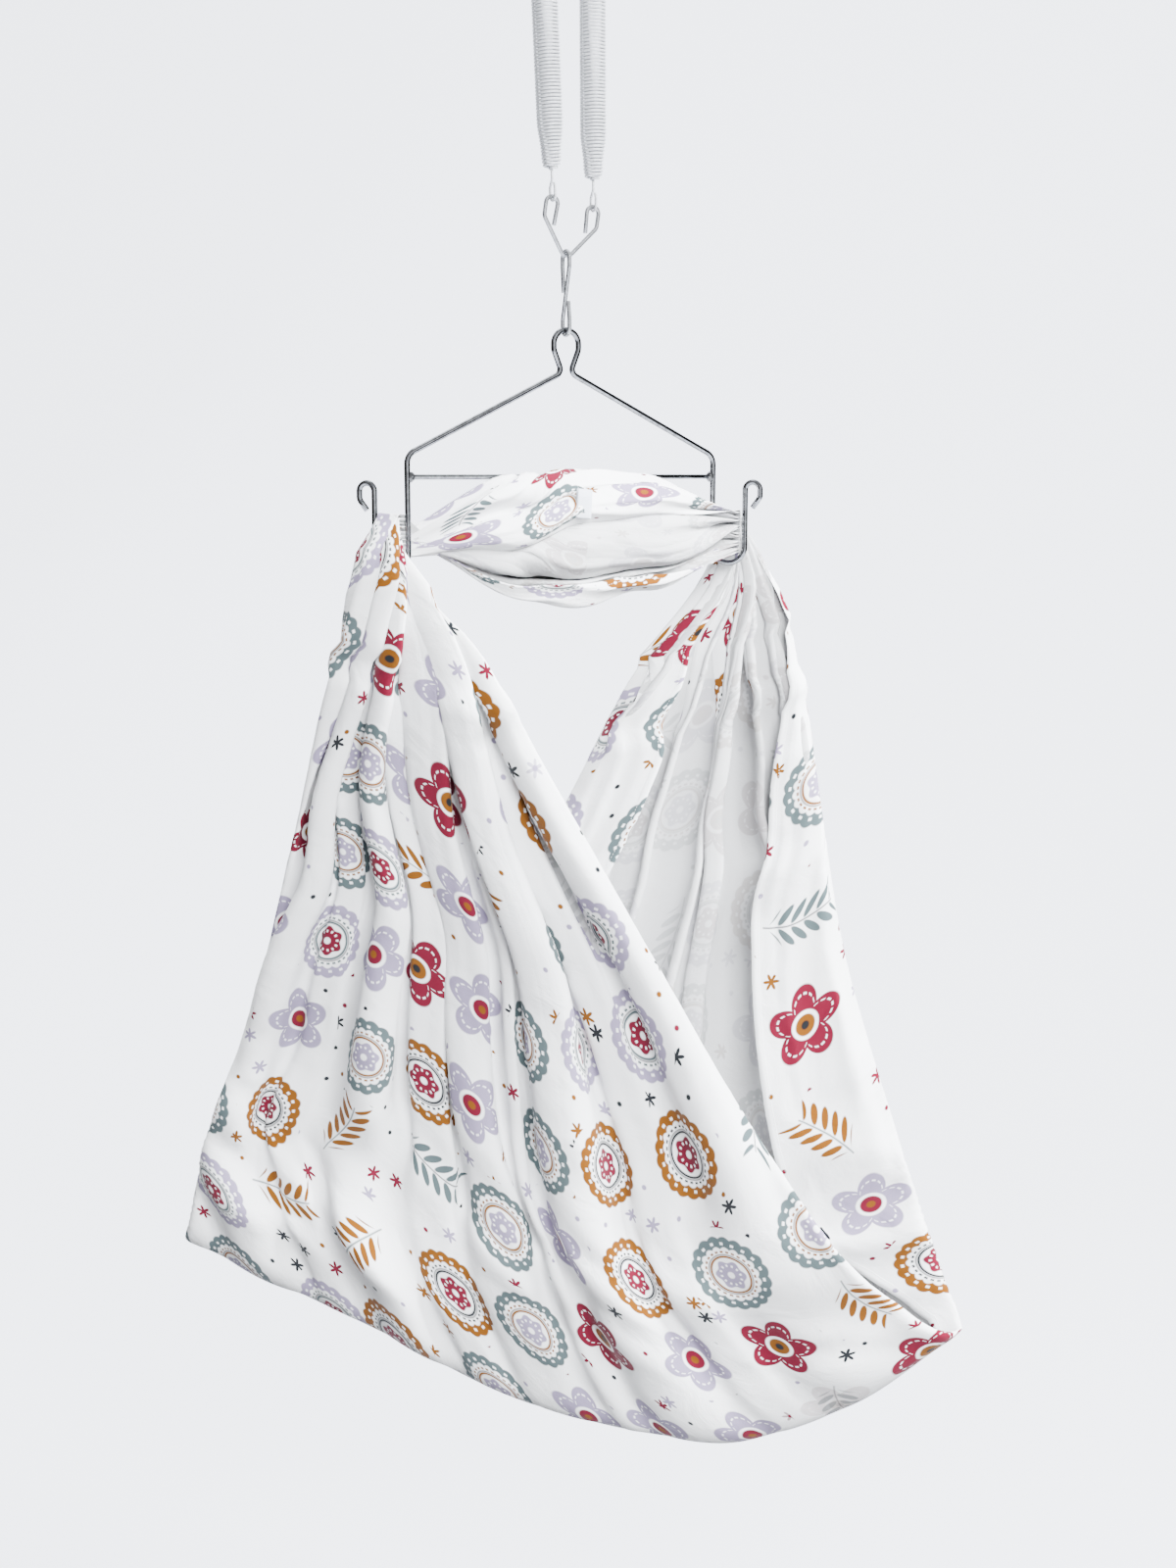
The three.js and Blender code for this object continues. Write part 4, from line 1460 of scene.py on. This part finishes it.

# %% [markdown]
# ## The other pieces, most of them on their bodies
#
# The yokes and the hook follow their own bodies, the frame and its bar rock with the cradle, and the
# springs, which stretch in use, stay fixed where they hang between the hanger and the lower yoke.

# %% Bodies
riders = [
    (upper_yoke, "upper_yoke", "hanger_top", "zinc_steel"),
    (lower_yoke, "lower_yoke", "yoke_below", "zinc_steel"),
    (s_hook, "s_hook", "hook", "zinc_steel"),
    (frame_piece, "frame_wire", "cradle", "chrome"),
    (bar_piece, "cross_bar", "cradle", "chrome"),
    (left_weld, "left_weld", "cradle", "weld_bead"),
    (right_weld, "right_weld", "cradle", "weld_bead"),
]
for piece, node, body, finish in riders:
    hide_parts(node)
    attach(piece, body)
for piece, node in zip(springs, ("left_spring", "right_spring")):
    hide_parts(node)
    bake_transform(piece)
print(len(riders) + len(springs) + 2, "pieces stand for CAD nodes")

# %% [markdown]
# ## The studio
#
# The photograph has a plain pale ground that runs up behind the object without an edge. A sheet of
# paper that curves from the floor to the wall does that. Large soft lamps light the cloth from the
# right, the front and the back, and metal doesn't mirror them. The world adds a glow a little to the
# right of the camera and is dark at both sides, so the chrome has dark and bright streaks. Where the
# camera sees past the paper, the world is as pale as the paper.

# %% Paper and lamps
floor_z = -1.95
paper_half = 2.6
paper_length = 6
wall_y = 3.2
wall_turn = 1.6
wall_top = 4.5
wall_bends = 12
pale_light = (0.93, 0.965, 1.05)
paper_strength = 3.3


def paper_sheet(name):
    """A floor that bends up into a wall behind the object, square to the camera."""
    profile = [(-paper_length, 0), (wall_y - wall_turn, 0)]
    for step in range(1, wall_bends):
        angle = math.pi / 2 * step / wall_bends
        forward, up = wall_turn * math.sin(angle), wall_turn * (1 - math.cos(angle))
        profile.append((wall_y - wall_turn + forward, up))
    profile += [(wall_y, wall_turn), (wall_y, wall_top)]
    facing = Matrix.Rotation(camera_heading, 3, "Z")

    def face_camera(shape):
        bmesh.ops.rotate(shape, verts=shape.verts, matrix=facing)

    return strip(name, [(y, z + floor_z) for y, z in profile], paper_half * 2, 1, face_camera)


paper, paper_tree, paper_shader = new_material("backdrop_paper")
fill(paper_tree, paper_shader, Base_Color=(0.24, 0.25, 0.28, 1), Roughness=1, Specular_IOR_Level=0)
fill(paper_tree, paper_shader, Emission_Color=(*pale_light, 1), Emission_Strength=paper_strength)
backdrop = mesh_piece("backdrop", paper_sheet("backdrop"), [paper])
backdrop.visible_diffuse = False

middle_of_cradle = Vector((0, 0, -1.0))
lamp_colour = (0.95, 0.975, 1)
lamps = [
    ("main_lamp", (2.2, -1.9, 1.4), 1.6, 1100, False),
    ("front_lamp", (-0.3, -2.8, 0.8), 1.6, 410, False),
    ("back_lamp", (-0.6, 2.5, 0.5), 1.8, 220, False),
    ("top_lamp", (0.1, 0.5, 1.9), 1.4, 30, True),
]
for name, place, size, power, mirrored in lamps:
    light = bpy.data.lights.new(name, "AREA")
    light.energy = power
    light.size = size
    light.color = lamp_colour
    holder = bpy.data.objects.new(name, light)
    holder.location = place
    holder.rotation_euler = (middle_of_cradle - Vector(place)).to_track_quat("-Z", "Y").to_euler()
    holder.visible_glossy = mirrored
    bpy.context.scene.collection.objects.link(holder)

world_strength = 0.95
upward, level = 0.475, 0.525
glow_heading = camera_heading + math.radians(29.96)
glow_edge, glow_softness = 0.85, 0.12
front_glow = 3.0
mirror_loss = 0.2
paper_glow = 4.1
sides_bright = (0.6, (0.95, 0.965, 1.0))
sides_dark = (0.82, (0.02, 0.021, 0.023))

world = bpy.data.worlds.new("studio_air")
world.use_nodes = True
air = world.node_tree
split = add_node(air, "SeparateXYZ", Vector=add_node(air, "TexCoord").outputs["Generated"])
x, y, z = (Varying(air, split.outputs[i]) for i in range(3))
beside = (x * math.cos(camera_heading) + y * math.sin(camera_heading)).size()
before = (x * math.sin(glow_heading) - y * math.cos(glow_heading)).above(glow_edge, glow_softness)
path = add_node(air, "LightPath")
kept = Varying(air, path.outputs["Is Glossy Ray"]) * -mirror_loss + 1
glow = z.joined("MULTIPLY_ADD", upward, level) * world_strength + before * kept * front_glow
shade = ramp(air, beside.socket, sides_bright, sides_dark)
room = fill(air, air.nodes["Background"], Color=shade, Strength=glow.socket)
pale = add_node(air, "Background", Color=(*pale_light, 1), Strength=paper_glow)
either = add_node(air, "MixShader", Fac=path.outputs["Is Camera Ray"])
connect(air, either.inputs[1], room.outputs[0])
connect(air, either.inputs[2], pale.outputs[0])
connect(air, air.nodes["World Output"].inputs["Surface"], either.outputs[0])
bpy.context.scene.world = world
